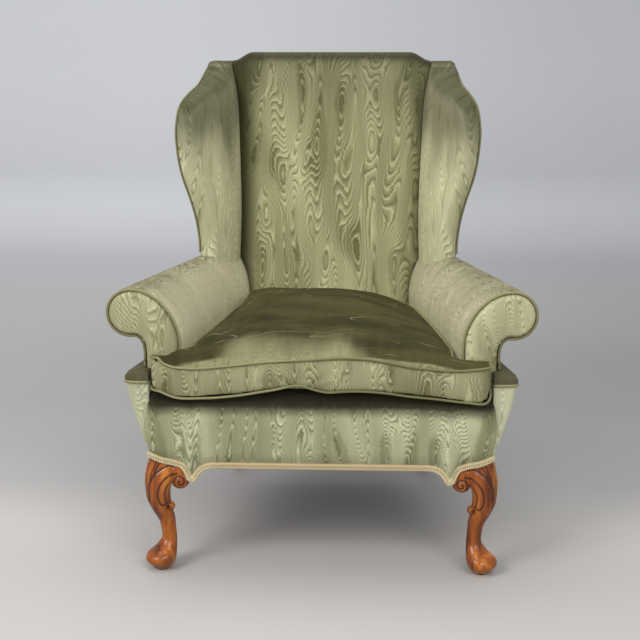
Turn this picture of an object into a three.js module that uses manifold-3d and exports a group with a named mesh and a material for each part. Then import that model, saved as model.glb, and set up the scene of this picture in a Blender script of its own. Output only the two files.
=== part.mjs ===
// Upholstered wing chair with a loose T cushion, built as a beech frame with its springs,
// stuffing, cover panels and trim. Millimetres, +X to the right as seen from the front,
// -Y the front, +Z up. The origin is on the floor under the middle of the chair's box.
import * as THREE from "three";
import { mergeVertices } from "three/addons/utils/BufferGeometryUtils.js";
import Module from "manifold-3d";

const wasm = await Module();
wasm.setup();

// Driving sizes of the seat frame
const railUnder = 240; // floor to the underside of the seat rails
const railHeight = 68;
const railThick = 28;
const frontHalf = 350; // half of the frame's width at its front face
const backHalf = 250; // and at its back face
const frameDepth = 600; // front face of the front rail to back face of the back rail
const frameAhead = 350; // how far the front rail's face lies ahead of the chair's middle
const gap = 0.3; // between pieces that touch
const tenonLength = 24;
const tenonThick = 12;
const shoulder = 9; // rail above and below its tenon

// Driving sizes of the seat
const deckHeight = 401; // floor to the top of the sprung seat
const webThick = 2;
const webWidth = 50;
const clothThick = 2;
const borderBulge = 28; // front border proud of the rail
const cushionReach = 350; // middle to the end of the cushion's ears
const cushionAhead = 388; // front of the cushion ahead of the chair's middle
const cushionBoxing = 62; // height of the cushion's side between its welts
const cushionCrown = 52; // middle of the cushion above its top welt

// Driving sizes of the arms
const armTop = 601;
const armInnerFront = 286; // middle to the inside of the arm at its front
const armInnerTaper = 0.1955; // how much nearer the inside comes per unit of depth
const scrollReach = 440; // middle to the outside of the arm scroll
const scrollRadius = 51;
const scrollTaper = 0.018; // loss of radius per unit of depth
const scrollSet = 25; // middle of the scroll inside the back stile's outside, at the back
const facingAhead = 318; // back of the arm's facing ahead of the chair's middle
const facingThick = 14;
const springLine = 488; // where the inside of the arm starts to turn outwards
const boardUnder = 512;
const boardThick = 25;
const panelThick = 3.5;
const stemProud = 20; // outside of the arm proud of the side rail
const ledgeReach = 46; // nose of the ledge proud of the side rail, at the front
const ledgeReachBack = 34;
const ledgeHeight = 408;
const ledgeRise = 32; // the ledge's slope from its nose up to the arm

// Driving sizes of the back and wings
const crestTop = 1062;
const backRake = 0.2; // lean of the back stiles
const padRake = 0.26; // lean of the padded front of the back
const padFoot = 118; // front of the back pad behind the chair's middle, at the seat
const padRestHeight = 424; // where the back's front starts to lean
const stileWidth = 38;
const stileDepth = 45;
const stileFoot = 205; // front of the back stile behind the chair's middle, at the seat
const stileTop = 1014;
const stileSplay = 38; // how far each stile has moved out at its top
const crestRailTop = 1030;
const crestRailHeight = 60;
const wingTop = 1041;
const wingReach = 349;
const wingAhead = 20; // foremost point of the wing behind the chair's middle
const wingRoll = 22; // radius of the wing's rolled front edge
const wingPadThick = 22;

// Driving sizes of the legs and trim
const blockWidth = 50;
const kneeRise = 22; // the knee's shoulder above the rails' underside
const weltRadius = 4.5;
const gimpWidth = 12;
const gimpThick = 2.5;
const cuspDrop = 32; // how far the hem dips at each cusp
const kneeSweep = 20; // how far the hem rises over each knee

const colours = {
  velvet: 0x8b8f66,
  cushion: 0x6d6a3c,
  trim: 0xa5a67c,
  gimp: 0xd0c593,
  walnut: 0x7c4424,
  beech: 0xc79a63,
  jute: 0xa98b5b,
  hessian: 0xb59d70,
  stuffing: 0xd8cfb8,
  steel: 0x8c9097,
  calico: 0xd9d2c0,
  lining: 0x2e2b28,
};
const material = (name, roughness = 0.9, metalness = 0) =>
  new THREE.MeshStandardMaterial({ color: colours[name], roughness, metalness });
const cover = material("velvet", 0.75);
const cushionCover = material("cushion", 0.75);
const trimCover = material("trim", 0.7);
const gimpFinish = material("gimp", 0.85);
const walnut = material("walnut", 0.35);
const beech = material("beech", 0.6);
const jute = material("jute");
const sacking = material("hessian");
const stuffing = material("stuffing");
const wire = material("steel", 0.4, 1);
const calico = material("calico");
const lining = material("lining");

// Numbers without a unit
const mergeStep = 1e-3;
const half = 0.5;
const lerp = THREE.MathUtils.lerp;
const clamp = THREE.MathUtils.clamp;
const smooth = THREE.MathUtils.smoothstep;
const point = (x, y, z) => new THREE.Vector3(x, y, z);

// Solids: meshes in, meshes out
function solid(geometry) {
  const bare = geometry.clone();
  bare.deleteAttribute("normal");
  bare.deleteAttribute("uv");
  const merged = mergeVertices(bare, mergeStep);
  return new wasm.Manifold(
    new wasm.Mesh({
      numProp: 3,
      vertProperties: new Float32Array(merged.attributes.position.array),
      triVerts: new Uint32Array(merged.index.array),
    }),
  );
}

function geometryOf(manifold) {
  const mesh = manifold.getMesh();
  const geometry = new THREE.BufferGeometry();
  geometry.setAttribute("position", new THREE.BufferAttribute(mesh.vertProperties, 3));
  geometry.setIndex(new THREE.BufferAttribute(mesh.triVerts, 1));
  geometry.computeVertexNormals();
  return geometry;
}

const cut = (geometry, ...tools) =>
  geometryOf(tools.reduce((body, tool) => body.subtract(solid(tool)), solid(geometry)));
const join = (geometry, ...others) =>
  geometryOf(others.reduce((body, other) => body.add(solid(other)), solid(geometry)));

function finished(positions, index) {
  let volume = 0;
  const at = (i) => point(positions[3 * i], positions[3 * i + 1], positions[3 * i + 2]);
  for (let i = 0; i < index.length; i += 3)
    volume += at(index[i]).dot(at(index[i + 1]).cross(at(index[i + 2])));
  if (volume < 0) index.reverse();
  const geometry = new THREE.BufferGeometry();
  geometry.setAttribute("position", new THREE.Float32BufferAttribute(positions, 3));
  geometry.setIndex(index);
  geometry.computeVertexNormals();
  return geometry;
}

// A closed skin over a row of rings of as many points each, its ends closed by flat fans
// round their middles, or by triangles between their own points where a ring is hollowed
function loft(rings, { closed = false, hollowed = false } = {}) {
  const count = rings[0].length;
  const positions = rings.flat().flatMap((p) => [p.x, p.y, p.z]);
  const index = [];
  const last = rings.length - 1;
  for (let i = 0; i < (closed ? rings.length : last); i++)
    for (let j = 0; j < count; j++) {
      const a = i * count + j;
      const b = i * count + ((j + 1) % count);
      const up = ((i + 1) % rings.length) * count - i * count;
      index.push(a, b, b + up, a, b + up, a + up);
    }
  if (closed) return finished(positions, index);
  for (const [ring, start, flip] of [
    [rings[0], 0, true],
    [rings[last], last * count, false],
  ]) {
    if (hollowed) {
      for (const [a, b, c] of flatTriangles(ring))
        index.push(...(flip ? [start + a, start + c, start + b] : [start + a, start + b, start + c]));
      continue;
    }
    const middle = positions.length / 3;
    const centre = ring.reduce((sum, p) => sum.add(p), point(0, 0, 0)).divideScalar(count);
    positions.push(centre.x, centre.y, centre.z);
    for (let j = 0; j < count; j++) {
      const next = start + ((j + 1) % count);
      index.push(...(flip ? [next, start + j, middle] : [start + j, next, middle]));
    }
  }
  return finished(positions, index);
}

// Triangles of a ring in its own plane, turned the way the ring runs
function flatTriangles(ring) {
  const normal = point(0, 0, 0);
  ring.forEach((p, i) => normal.add(p.clone().cross(ring[(i + 1) % ring.length])));
  const drop = ["x", "y", "z"].reduce((a, b) => (Math.abs(normal[a]) > Math.abs(normal[b]) ? a : b));
  const [u, v] = ["x", "y", "z"].filter((axis) => axis !== drop);
  const flat = ring.map((p) => new THREE.Vector2(p[u], p[v]));
  const turn = Math.sign(THREE.ShapeUtils.area(flat));
  return THREE.ShapeUtils.triangulateShape(flat, []).map(([a, b, c]) => {
    const area = THREE.ShapeUtils.area([flat[a], flat[b], flat[c]]);
    return Math.sign(area) === turn ? [a, b, c] : [a, c, b];
  });
}

// A closed sheet between two surfaces, front(u, v) and back(u, v), u and v from 0 to 1
function sheet(across, along, front, back) {
  const positions = [];
  const index = [];
  for (const face of [front, back])
    for (let j = 0; j <= along; j++)
      for (let i = 0; i <= across; i++) {
        const p = face(i / across, j / along);
        positions.push(p.x, p.y, p.z);
      }
  const row = across + 1;
  const layer = row * (along + 1);
  for (let j = 0; j < along; j++)
    for (let i = 0; i < across; i++) {
      const a = j * row + i;
      index.push(a, a + 1, a + row + 1, a, a + row + 1, a + row);
      index.push(layer + a, layer + a + row + 1, layer + a + 1);
      index.push(layer + a, layer + a + row, layer + a + row + 1);
    }
  const rim = [];
  for (let i = 0; i < across; i++) rim.push(i);
  for (let j = 0; j < along; j++) rim.push(j * row + across);
  for (let i = across; i > 0; i--) rim.push(along * row + i);
  for (let j = along; j > 0; j--) rim.push(j * row);
  rim.forEach((a, i) => {
    const b = rim[(i + 1) % rim.length];
    index.push(b, a, layer + a, b, layer + a, layer + b);
  });
  return finished(positions, index);
}

// A cord of round section along points, its sides set out from the direction given
function roundCord(points, radius, sides, aside, closed = false) {
  const last = points.length - 1;
  const rings = points.map((p, i) => {
    const before = points[closed ? (i + last) % (last + 1) : Math.max(i - 1, 0)];
    const after = points[closed ? (i + 1) % (last + 1) : Math.min(i + 1, last)];
    const along = after.clone().sub(before).normalize();
    const out = aside.clone().addScaledVector(along, -aside.dot(along)).normalize();
    const over = along.clone().cross(out);
    return Array.from({ length: sides }, (_, k) => {
      const angle = (2 * Math.PI * k) / sides;
      return p
        .clone()
        .addScaledVector(out, radius * Math.cos(angle))
        .addScaledVector(over, radius * Math.sin(angle));
    });
  });
  return loft(rings, { closed });
}

// A straight-edged bar along one axis: each station gives its place on that axis and its
// least and greatest place on the other two, and spread makes the whole bar larger
function bar(axis, stations, spread = 0) {
  const last = stations.length - 1;
  const rings = stations.map(([place, u0, u1, v0, v1], i) => {
    const end = i === 0 ? -spread : i === last ? spread : 0;
    const at = place + end * Math.sign(stations[last][0] - stations[0][0]);
    return [
      [u0 - spread, v0 - spread],
      [u1 + spread, v0 - spread],
      [u1 + spread, v1 + spread],
      [u0 - spread, v1 + spread],
    ].map(([u, v]) =>
      axis === "x" ? point(at, u, v) : axis === "y" ? point(u, at, v) : point(u, v, at),
    );
  });
  return loft(rings);
}

const block = (x0, x1, y0, y1, z0, z1, spread = 0) =>
  bar("z", [
    [z0, x0, x1, y0, y1],
    [z1, x0, x1, y0, y1],
  ], spread);

// A flat outline in the X-Z plane, made thick along Y
function plate(outline, y0, y1) {
  const shape = new THREE.Shape(outline.map(([x, z]) => new THREE.Vector2(x, z)));
  const geometry = new THREE.ExtrudeGeometry(shape, { depth: y1 - y0, bevelEnabled: false });
  geometry.rotateX(Math.PI / 2);
  geometry.translate(0, y1, 0);
  return geometry;
}

// A flat outline in plan, made thick upwards
function slab(outline, z0, z1) {
  const shape = new THREE.Shape(outline.map(([x, y]) => new THREE.Vector2(x, y)));
  const geometry = new THREE.ExtrudeGeometry(shape, { depth: z1 - z0, bevelEnabled: false });
  geometry.translate(0, 0, z0);
  return geometry;
}

// Places that follow from the driving sizes
const frontY = -frameAhead;
const backY = frontY + frameDepth;
const railTop = railUnder + railHeight;
const railMiddle = railUnder + railHeight * half;
const sideX = (y) => lerp(frontHalf, backHalf, (y - frontY) / frameDepth);
const railInner = (y) => sideX(y) - railThick;
const stemX = (y) => sideX(y) + stemProud;
const railOuter = (y) => sideX(clamp(y, frontY, stileFoot));
const facingY = -facingAhead;
const armX = (y) => armInnerFront - armInnerTaper * (y - facingY);
const scrollR = (y) => scrollRadius - scrollTaper * (y - facingY);
const scrollX = (y) =>
  lerp(scrollReach - scrollRadius, sideX(stileFoot) - scrollSet, (y - facingY) / (stileFront(armTop) - facingY));
const scrollZ = (y) => armTop - scrollR(y);
const stileFront = (z) => stileFoot + backRake * Math.max(z - railTop, 0);
const stileBack = (z) => stileFront(z) + stileDepth;
const stileOuter = (z) =>
  sideX(stileFoot) + stileSplay * clamp((z - boardUnder) / (stileTop - boardUnder), 0, 1);
const stileInner = (z) => stileOuter(z) - stileWidth;
const padFront = (z) => padFoot + padRake * Math.max(z - padRestHeight, 0);
const legX = frontHalf - blockWidth * half;
const legY = frontY + blockWidth * half;
const kneeTop = railUnder + kneeRise;
const webbingRoom = 5; // webbing and its tacks ahead of the back stiles

// The hem: height of the cover's lower edge at a distance from the seat's front corner
const hemPlaceShares = [0, 0.19, 0.42, 0.56, 0.645, 0.73, 0.87, 1];
const hemHeightShares = [1, 0.5, 0.15, -0.28, -1, -0.5, -0.09, 0];
const hemSpan = 130;
function hem(distance) {
  const share = clamp(distance / hemSpan, 0, 1);
  let i = 1;
  while (i < hemPlaceShares.length - 1 && share > hemPlaceShares[i]) i++;
  const t = (share - hemPlaceShares[i - 1]) / (hemPlaceShares[i] - hemPlaceShares[i - 1]);
  const height = lerp(hemHeightShares[i - 1], hemHeightShares[i], clamp(t, 0, 1));
  return railUnder + height * (height > 0 ? kneeSweep : cuspDrop);
}

// Front leg: a cabriole leg under a square block. Levels run from the pad foot to the knee.
const legHeightShares = [
  0, 0.023, 0.084, 0.13, 0.168, 0.214, 0.282, 0.359, 0.427, 0.5, 0.573, 0.656, 0.744, 0.832,
  0.908, 0.962, 1,
];
const legHalfShares = [
  0.8, 1.12, 1.28, 1.12, 0.86, 0.7, 0.62, 0.66, 0.74, 0.82, 0.9, 1, 1.12, 1.16, 1.12, 1.06, 0.99,
];
const legLeanShares = [
  0.52, 0.52, 0.52, 0.48, 0.2, -0.04, -0.14, -0.06, 0.06, 0.32, 0.52, 0.58, 0.52, 0.4, 0.24, 0.1, 0,
];
const legSides = 16;
const footSquareness = 2; // exponent of the section: 2 is round
const kneeSquareness = 3.4;
const frontTenonSet = 10; // the front rail's tenon ahead of the leg's middle
const sideTenonSet = 2; // the side rail's tenon outside the leg's middle
const tenonAt = {
  front: [legY - frontTenonSet, legY - frontTenonSet + tenonThick],
  side: [legX + sideTenonSet, legX + sideTenonSet + tenonThick],
};
const sideTenonLength = 17;

function legBody(spread = 0) {
  const blockHalf = blockWidth * half;
  const rings = legHeightShares.map((height, i) => {
    const lean = legLeanShares[i] * blockHalf;
    const reach = legHalfShares[i] * blockHalf + spread;
    const power = lerp(footSquareness, kneeSquareness, smooth(height, 0.4, 0.8));
    return Array.from({ length: legSides }, (_, k) => {
      const angle = (2 * Math.PI * (k + half)) / legSides;
      const round = (value) => Math.sign(value) * Math.abs(value) ** (2 / power);
      return point(
        legX + lean + reach * round(Math.cos(angle)),
        legY - lean + reach * round(Math.sin(angle)),
        height * kneeTop - (i === 0 ? spread : 0),
      );
    });
  });
  const top = block(
    legX - blockHalf, legX + blockHalf, legY - blockHalf, legY + blockHalf,
    railUnder, railTop, spread,
  );
  return join(loft(rings), top);
}

function frontTenon(spread = 0) {
  const x = legX - blockWidth * half;
  const [y0, y1] = tenonAt.front;
  return block(x - tenonThick, x + tenonLength, y0, y1, railUnder + shoulder, railTop - shoulder, spread);
}

function sideTenon(spread = 0) {
  const y = legY + blockWidth * half;
  const [x0, x1] = tenonAt.side;
  return block(
    x0, x1, y - sideTenonLength, y + tenonThick, railUnder + shoulder, railTop - shoulder, spread,
  );
}

const frontLeg = () => cut(legBody(), frontTenon(gap), sideTenon(gap));

// Knee blocks: a bracket under the rail, with the scroll that carries on from the knee
const voluteRadius = 19;
const voluteIn = 34; // volute's middle from the leg's middle
const voluteDrop = 37; // and below the rail
const eyeRadius = 7;
const eyeProud = 3;
const bracketReach = 62; // end of the bracket from the leg's middle
const bracketDrop = 32;
const kneeProud = 14; // face of the volute ahead of the rail's face
const bracketSet = 2; // face of the bracket behind the rail's face
const voluteSides = 20;

function disc(x, z, radius, y0, y1, sides) {
  const outline = Array.from({ length: sides }, (_, k) => {
    const angle = (2 * Math.PI * k) / sides;
    return [x + radius * Math.cos(angle), z + radius * Math.sin(angle)];
  });
  return plate(outline, y0, y1);
}

function kneeBlockBody(spread = 0) {
  const top = railUnder - gap + spread;
  const face = frontY - kneeProud - spread;
  const rear = frontY + railThick + spread;
  const x = legX - voluteIn;
  const z = railUnder - voluteDrop;
  const bracket = block(
    legX - bracketReach - spread, legX, frontY + bracketSet - spread, rear,
    railUnder - bracketDrop - spread, top,
  );
  const web = block(x - spread, legX, face + eyeProud, rear, z - voluteRadius * half, railUnder - gap);
  const volute = disc(x, z, voluteRadius + spread, face, rear - tenonThick, voluteSides);
  const eye = disc(x, z, eyeRadius + spread, face - eyeProud, face + eyeProud, voluteSides / 2);
  return join(bracket, web, volute, eye);
}

const frontKneeBlock = () => cut(kneeBlockBody(), legBody(gap));

// The side block is the front one seen in a mirror across the leg's corner, turned to the
// side rail's run
function onSide(geometry) {
  const turn = Math.atan((frontHalf - backHalf) / frameDepth);
  const swap = new THREE.Matrix4().set(
    0, -1, 0, legX + legY,
    -1, 0, 0, legX + legY,
    0, 0, 1, 0,
    0, 0, 0, 1,
  );
  const turned = new THREE.Matrix4()
    .makeTranslation(frontHalf, frontY, 0)
    .multiply(new THREE.Matrix4().makeRotationZ(turn))
    .multiply(new THREE.Matrix4().makeTranslation(-frontHalf, -frontY, 0));
  const copy = geometry.clone().applyMatrix4(turned.multiply(swap));
  copy.index.array.reverse();
  copy.computeVertexNormals();
  return copy;
}

const sideKneeBlock = () => cut(onSide(kneeBlockBody()), legBody(gap), kneeBlockBody(gap));

// Rails of the seat
const frontRailEnd = legX - blockWidth * half - gap;
const frontRail = () =>
  join(
    bar("x", [
      [-frontRailEnd, frontY, frontY + railThick, railUnder, railTop],
      [frontRailEnd, frontY, frontY + railThick, railUnder, railTop],
    ]),
    frontTenon(),
    frontTenon().rotateY(Math.PI).translate(0, 0, 2 * railMiddle),
  );

function sideRailBody(spread = 0) {
  const station = (y) => [y, railInner(y), sideX(y), railUnder, railTop];
  return bar("y", [station(legY + blockWidth * half + gap), station(stileFoot - gap)], spread);
}

const backTenonX = () => stileInner(0) + (stileWidth - tenonThick) * half;
function backTenon(spread = 0) {
  const x = backTenonX();
  return block(
    x, x + tenonThick, stileFoot - tenonThick, stileFoot + tenonLength,
    railUnder + shoulder, railTop - shoulder, spread,
  );
}

const postTenonDepth = 20;
const postDepth = 48; // arm post, front to back
const postFront = facingY + gap;
const postBack = postFront + postDepth;
const postInner = (y) => railInner(y);
const postOuter = (y) => stemX(y) - panelThick - gap;
function postTenon(spread = 0) {
  const y0 = legY + blockWidth * half + 2 * gap;
  const x = (postInner(y0) + sideX(y0)) * half;
  return block(
    x - tenonThick * half, x + tenonThick * half, y0 + gap, postBack - shoulder,
    railTop - postTenonDepth, railTop + tenonThick, spread,
  );
}

const sideRail = () => cut(join(sideRailBody(), sideTenon(), backTenon()), postTenon(gap));

const backRailY = [backY - railThick, backY];
const backTenonSet = 8; // tenon behind the back rail's front face
const backRailTenonY = [backRailY[0] + backTenonSet, backRailY[0] + backTenonSet + tenonThick];
const backRailTenonLength = 8;
function backRailTenon(spread = 0) {
  const x = stileInner(0);
  const [y0, y1] = backRailTenonY;
  return block(
    x - tenonThick, x + backRailTenonLength, y0, y1, railUnder + shoulder, railTop - shoulder, spread,
  );
}

const backRail = () =>
  join(
    block(-stileInner(0) + gap, stileInner(0) - gap, ...backRailY, railUnder, railTop),
    backRailTenon(),
    backRailTenon().rotateY(Math.PI).translate(0, 0, 2 * railMiddle),
  );

// Corner blocks, glued and screwed inside the two front corners
const cornerLeg = 62;
const cornerInset = 8;
function cornerBlock() {
  const y = frontY + railThick + gap;
  const blockX = legX - blockWidth * half - gap;
  const blockY = legY + blockWidth * half + gap;
  const backCorner = blockY + cornerLeg;
  const outline = [
    [blockX - cornerLeg, y],
    [blockX, y],
    [blockX, blockY],
    [railInner(blockY) - gap, blockY],
    [railInner(backCorner) - gap, backCorner],
  ];
  return slab(outline, railUnder + cornerInset, railTop - cornerInset);
}

// Back leg and back stile in one piece, raked above the seat and below it
const footBack = 88; // how far the back foot stands behind the seat rail
const footWidth = 32;
const footShares = [1, 0.86, 0.55, 0.22, 0];
const footHeightShares = [0, 0.16, 0.42, 0.75, 1];
function backLegBody(spread = 0) {
  const below = footShares.map((share, i) => {
    const z = footHeightShares[i] * railUnder;
    const width = lerp(footWidth, stileWidth, footHeightShares[i]);
    const depth = lerp(footWidth, stileDepth, footHeightShares[i]);
    const x = stileInner(0) + (stileWidth - width) * half;
    const y = stileFoot + (stileDepth - depth) + footBack * share;
    return [z, x, x + width, y, y + depth];
  });
  const above = [railTop, boardUnder, stileTop].map((z) => [
    z, stileInner(z), stileOuter(z), stileFront(z), stileBack(z),
  ]);
  return bar("z", [...below, ...above], spread);
}

// A rail across the raked back, flush with the front of the stiles
function rakedRail(x, z0, z1, thick, spread = 0) {
  const ring = (place) => [
    point(place, stileFront(z0) - spread, z0 - spread),
    point(place, stileFront(z0) + thick + spread, z0 - spread),
    point(place, stileFront(z1) + thick + spread, z1 + spread),
    point(place, stileFront(z1) - spread, z1 + spread),
  ];
  return loft([ring(-x - spread), ring(x + spread)]);
}

const crestTongue = 14;
const stayHeight = 40;
const stayUnder = 395;
const backStayInset = 4;
const backStayTongue = 8;
function crestTenon(spread = 0) {
  const z0 = crestRailTop - crestRailHeight + shoulder;
  const z1 = stileTop - shoulder;
  const y0 = stileFront(z0) + tenonThick;
  return block(
    -stileInner(z0) - crestTongue, stileInner(z0) + crestTongue, y0, y0 + tenonThick, z0, z1, spread,
  );
}
function backStayTenon(spread = 0) {
  const z0 = stayUnder + shoulder;
  const z1 = stayUnder + stayHeight - shoulder;
  const x = stileInner(z0) + backStayTongue;
  const y0 = stileFront(z1) + backStayInset;
  return block(-x, x, y0, y0 + tenonThick, z0, z1, spread);
}
function crestRailBody(spread = 0) {
  const z0 = crestRailTop - crestRailHeight;
  return rakedRail(stileInner(z0) - gap, z0, crestRailTop, stileDepth, spread);
}
const crestRail = () => join(crestRailBody(), crestTenon());
const backStayRail = () =>
  join(
    rakedRail(stileInner(stayUnder) - gap, stayUnder, stayUnder + stayHeight, railThick),
    backStayTenon(),
  );

const backLeg = () =>
  cut(
    backLegBody(),
    backTenon(gap),
    backRailTenon(gap),
    crestTenon(gap),
    backStayTenon(gap),
    armStayTenon(gap),
    boardTenon(gap),
  );

// Arm frame: post, board and stay rail
const rollCover = 28; // from the arm board's edge out to the outside of the scroll
const boardBackY = stileFront(boardUnder) - gap;
const boardShare = (y) => (y - postFront) / (boardBackY - postFront);
const boardOuter = (y) => scrollX(y) + scrollR(y) - rollCover;
const boardInner = (y) => lerp(railInner(postFront), stileInner(boardUnder) + gap, boardShare(y));
const boardTop = boardUnder + boardThick;
const boardTongue = 16;
function boardTenon(spread = 0) {
  const x = (stileInner(boardUnder) + stileOuter(boardUnder)) * half;
  return block(
    x - tenonThick * half, x + tenonThick * half, boardBackY - tenonThick, boardBackY + boardTongue,
    boardUnder + gap, boardTop - gap, spread,
  );
}
function postTopTenon(spread = 0) {
  const x = (postInner(postFront) + postOuter(postFront)) * half;
  const y = (postFront + postBack) * half;
  return block(
    x - tenonThick, x + tenonThick, y - tenonThick * half, y + tenonThick * half,
    boardUnder - tenonThick, boardTop - shoulder, spread,
  );
}
const armBoard = () =>
  cut(
    join(
      bar("y", [
        [postFront, boardInner(postFront), boardOuter(postFront), boardUnder, boardTop],
        [boardBackY, boardInner(boardBackY), boardOuter(boardBackY), boardUnder, boardTop],
      ]),
      boardTenon(),
    ),
    postTopTenon(gap),
  );

const armStayUnder = 416;
const armStayHeight = 38;
const armStayThick = 24;
const armStayX = (y) => railInner(y);
function armStayTenon(spread = 0) {
  const z0 = armStayUnder + shoulder;
  const z1 = armStayUnder + armStayHeight - shoulder;
  const x0 = stileInner(z0) + tenonThick;
  const y = stileFront(z0);
  return block(x0, x0 + tenonThick, y - tenonLength, y + tenonLength * half, z0, z1, spread);
}
function armStayFrontTenon(spread = 0) {
  const z0 = armStayUnder + shoulder;
  const z1 = armStayUnder + armStayHeight - shoulder;
  const x0 = armStayX(postBack) + tenonThick * half;
  return block(x0, x0 + tenonThick, postBack - tenonThick, postBack + tenonLength, z0, z1, spread);
}
const armStayRail = () => {
  const end = stileFront(armStayUnder) - gap;
  return join(
    bar("y", [
      [postBack + gap, armStayX(postBack), armStayX(postBack) + armStayThick, armStayUnder,
        armStayUnder + armStayHeight],
      [end, armStayX(end), armStayX(end) + armStayThick, armStayUnder, armStayUnder + armStayHeight],
    ]),
    armStayTenon(),
    armStayFrontTenon(),
  );
};

function armPostBody(spread = 0) {
  return bar("z", [
    [railTop + gap, postInner(postFront), postOuter(postBack), postFront, postBack],
    [boardUnder - gap, postInner(postFront), postOuter(postBack), postFront, postBack],
  ], spread);
}
const armPost = () =>
  cut(join(armPostBody(), postTenon(), postTopTenon()), armStayFrontTenon(gap));

// Wing: each row runs from the groove beside the back pad to the wing's rolled front edge
const wingHeightShares = [0, 0.084, 0.167, 0.256, 0.356, 0.476, 0.603, 0.702, 0.775, 0.827, 0.873,
  0.915, 0.953, 0.979];
const wingEdgeLiftShares = [0, 0, 0, 0, 0, 0, 0, 0.005, 0.015, 0.012, 0.006, 0.004, 0, 0];
const wingOutShares = [0.868, 0.868, 0.872, 0.888, 0.92, 0.968, 0.992, 0.997, 0.977, 0.942, 0.906,
  0.88, 0.862, 0.84];
const wingForeShares = [0.725, 0.738, 0.745, 0.79, 0.85, 0.925, 0.992, 0.975, 0.86, 0.64, 0.4, 0.2,
  0.08, 0.03];
const grooveShares = [0.618, 0.616, 0.613, 0.612, 0.615, 0.622, 0.63, 0.636, 0.642, 0.65, 0.66,
  0.673, 0.686, 0.695];
const wingFoot = 560;
const grooveSet = 15; // the groove behind the back pad's front
const wingForeSpan = 270; // depth from the wing's foremost point to the back, at the top
const wingBulge = 7;
const wingLip = 16;
const rollSteps = 5;
const rollSetShare = 1.4; // the roll's middle inside the edge, as a share of its radius
const wingFaceShares = [0.25, 0.5, 0.75];

function wingRow(i) {
  const z = lerp(wingFoot, wingTop, wingHeightShares[i]);
  const groove = point(grooveShares[i] * wingReach, padFront(z) + grooveSet, z);
  const fore = lerp(groove.y, wingAhead, wingForeShares[i]);
  const outer = wingOutShares[i] * wingReach;
  // The roll's middle lies inside the outermost and foremost points of the edge
  const middle = point(outer - rollSetShare * wingRoll, fore + wingRoll, z + wingEdgeLiftShares[i] * wingTop);
  const chord = point(middle.x - groove.x, middle.y - groove.y, 0).normalize();
  middle.addScaledVector(point(-chord.y, chord.x, 0), -wingRoll);
  const along = point(middle.x - groove.x, Math.min(middle.y - groove.y, -wingRoll * half), 0);
  along.normalize();
  const out = point(-along.y, along.x, 0);
  const length = Math.max(
    (middle.x - groove.x) * along.x + (middle.y - groove.y) * along.y, wingRoll,
  );
  const place = (a, b) =>
    groove.clone()
      .addScaledVector(along, a)
      .addScaledVector(out, b)
      .setZ(lerp(groove.z, middle.z, clamp(a / length, 0, 1)));
  return { z, groove, along, out, length, place };
}

function wingPadRing(i) {
  const { z, groove, length, place } = wingRow(i);
  const rear = i > wingHeightShares.length - 3 ? stileBack(stileTop) : stileFront(z) - webbingRoom - gap;
  const ring = [point(groove.x, rear, z), place(0, 0)];
  for (const share of wingFaceShares) {
    ring.push(place(share * length, -wingBulge * Math.sin(Math.PI * share)));
  }
  for (let k = 0; k <= rollSteps; k++) {
    const angle = (Math.PI * k) / rollSteps;
    ring.push(place(length + wingRoll * Math.sin(angle), wingRoll * (1 - Math.cos(angle))));
  }
  const lip = Math.max(length - wingLip, length * half);
  ring.push(place(lip, 2 * wingRoll + gap));
  ring.push(place(lip - gap, wingPadThick));
  ring.push(place(0, wingPadThick));
  ring.push(point((z > stileTop ? stileOuter(z) : stileInner(z)) + webbingRoom, rear, z));
  return ring;
}

const rows = wingHeightShares.map((_, i) => i);
const postInset = 2; // wing post behind the lip of the pad
const wingPostThick = 20;
const wingPostWidth = 30;
const wingPostLevels = 8; // levels of the wing that its post reaches
function wingPostBody(spread = 0) {
  const ring = (i, z) => {
    const { place, length } = wingRow(i);
    const a1 = length - wingLip - postInset + spread;
    const a0 = Math.max(a1 - wingPostWidth, 0) - 2 * spread;
    const b0 = wingPadThick + gap - spread;
    const b1 = b0 + wingPostThick + 2 * spread;
    const corners = [[a0, b0], [a1, b0], [a1, b1], [a0, b1]];
    return corners.map(([a, b]) => (z === undefined ? place(a, b) : place(a, b).setZ(z)));
  };
  return loft([ring(0, boardTop + gap - spread), ...rows.slice(1, wingPostLevels).map((i) => ring(i))]);
}

const wingRailHeight = 40;
function wingRailBody(spread = 0) {
  const { place, length, z } = wingRow(wingPostLevels - 1);
  const start = place(length - wingLip - wingPostWidth * half, wingPadThick + wingPostThick * half);
  const end = point(stileOuter(z) - stileWidth * half, stileFront(z) + stileDepth * half, z);
  const side = point(-(end.y - start.y), end.x - start.x, 0).normalize();
  const ring = (p, drop) =>
    [[-1, -1], [1, -1], [1, 1], [-1, 1]].map(([s, v]) =>
      p.clone()
        .addScaledVector(side, s * (wingPostThick * half + spread))
        .add(point(0, 0, drop + (v * wingRailHeight * half + v * spread))),
    );
  return loft([ring(start, wingRailHeight * half + gap), ring(end, wingRailHeight)]);
}
const wingPost = () => wingPostBody();
const wingRail = () => cut(wingRailBody(), backLegBody(gap), wingPostBody(gap));

// Arm pad: the padded inside of the arm and its roll, hooked over the arm board
const ellipseSteps = 5;
const scrollSteps = 7;
const ellipseDroop = 1.15;
const underDrop = 8;
const stemLap = 1; // the roll's underside runs this far past the arm's outside
const underTurn = -1.6; // where the roll ends while it overhangs
const hessianTop = railTop + 2 * gap + clothThick;
const armPadFoot = hessianTop + gap;

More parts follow.
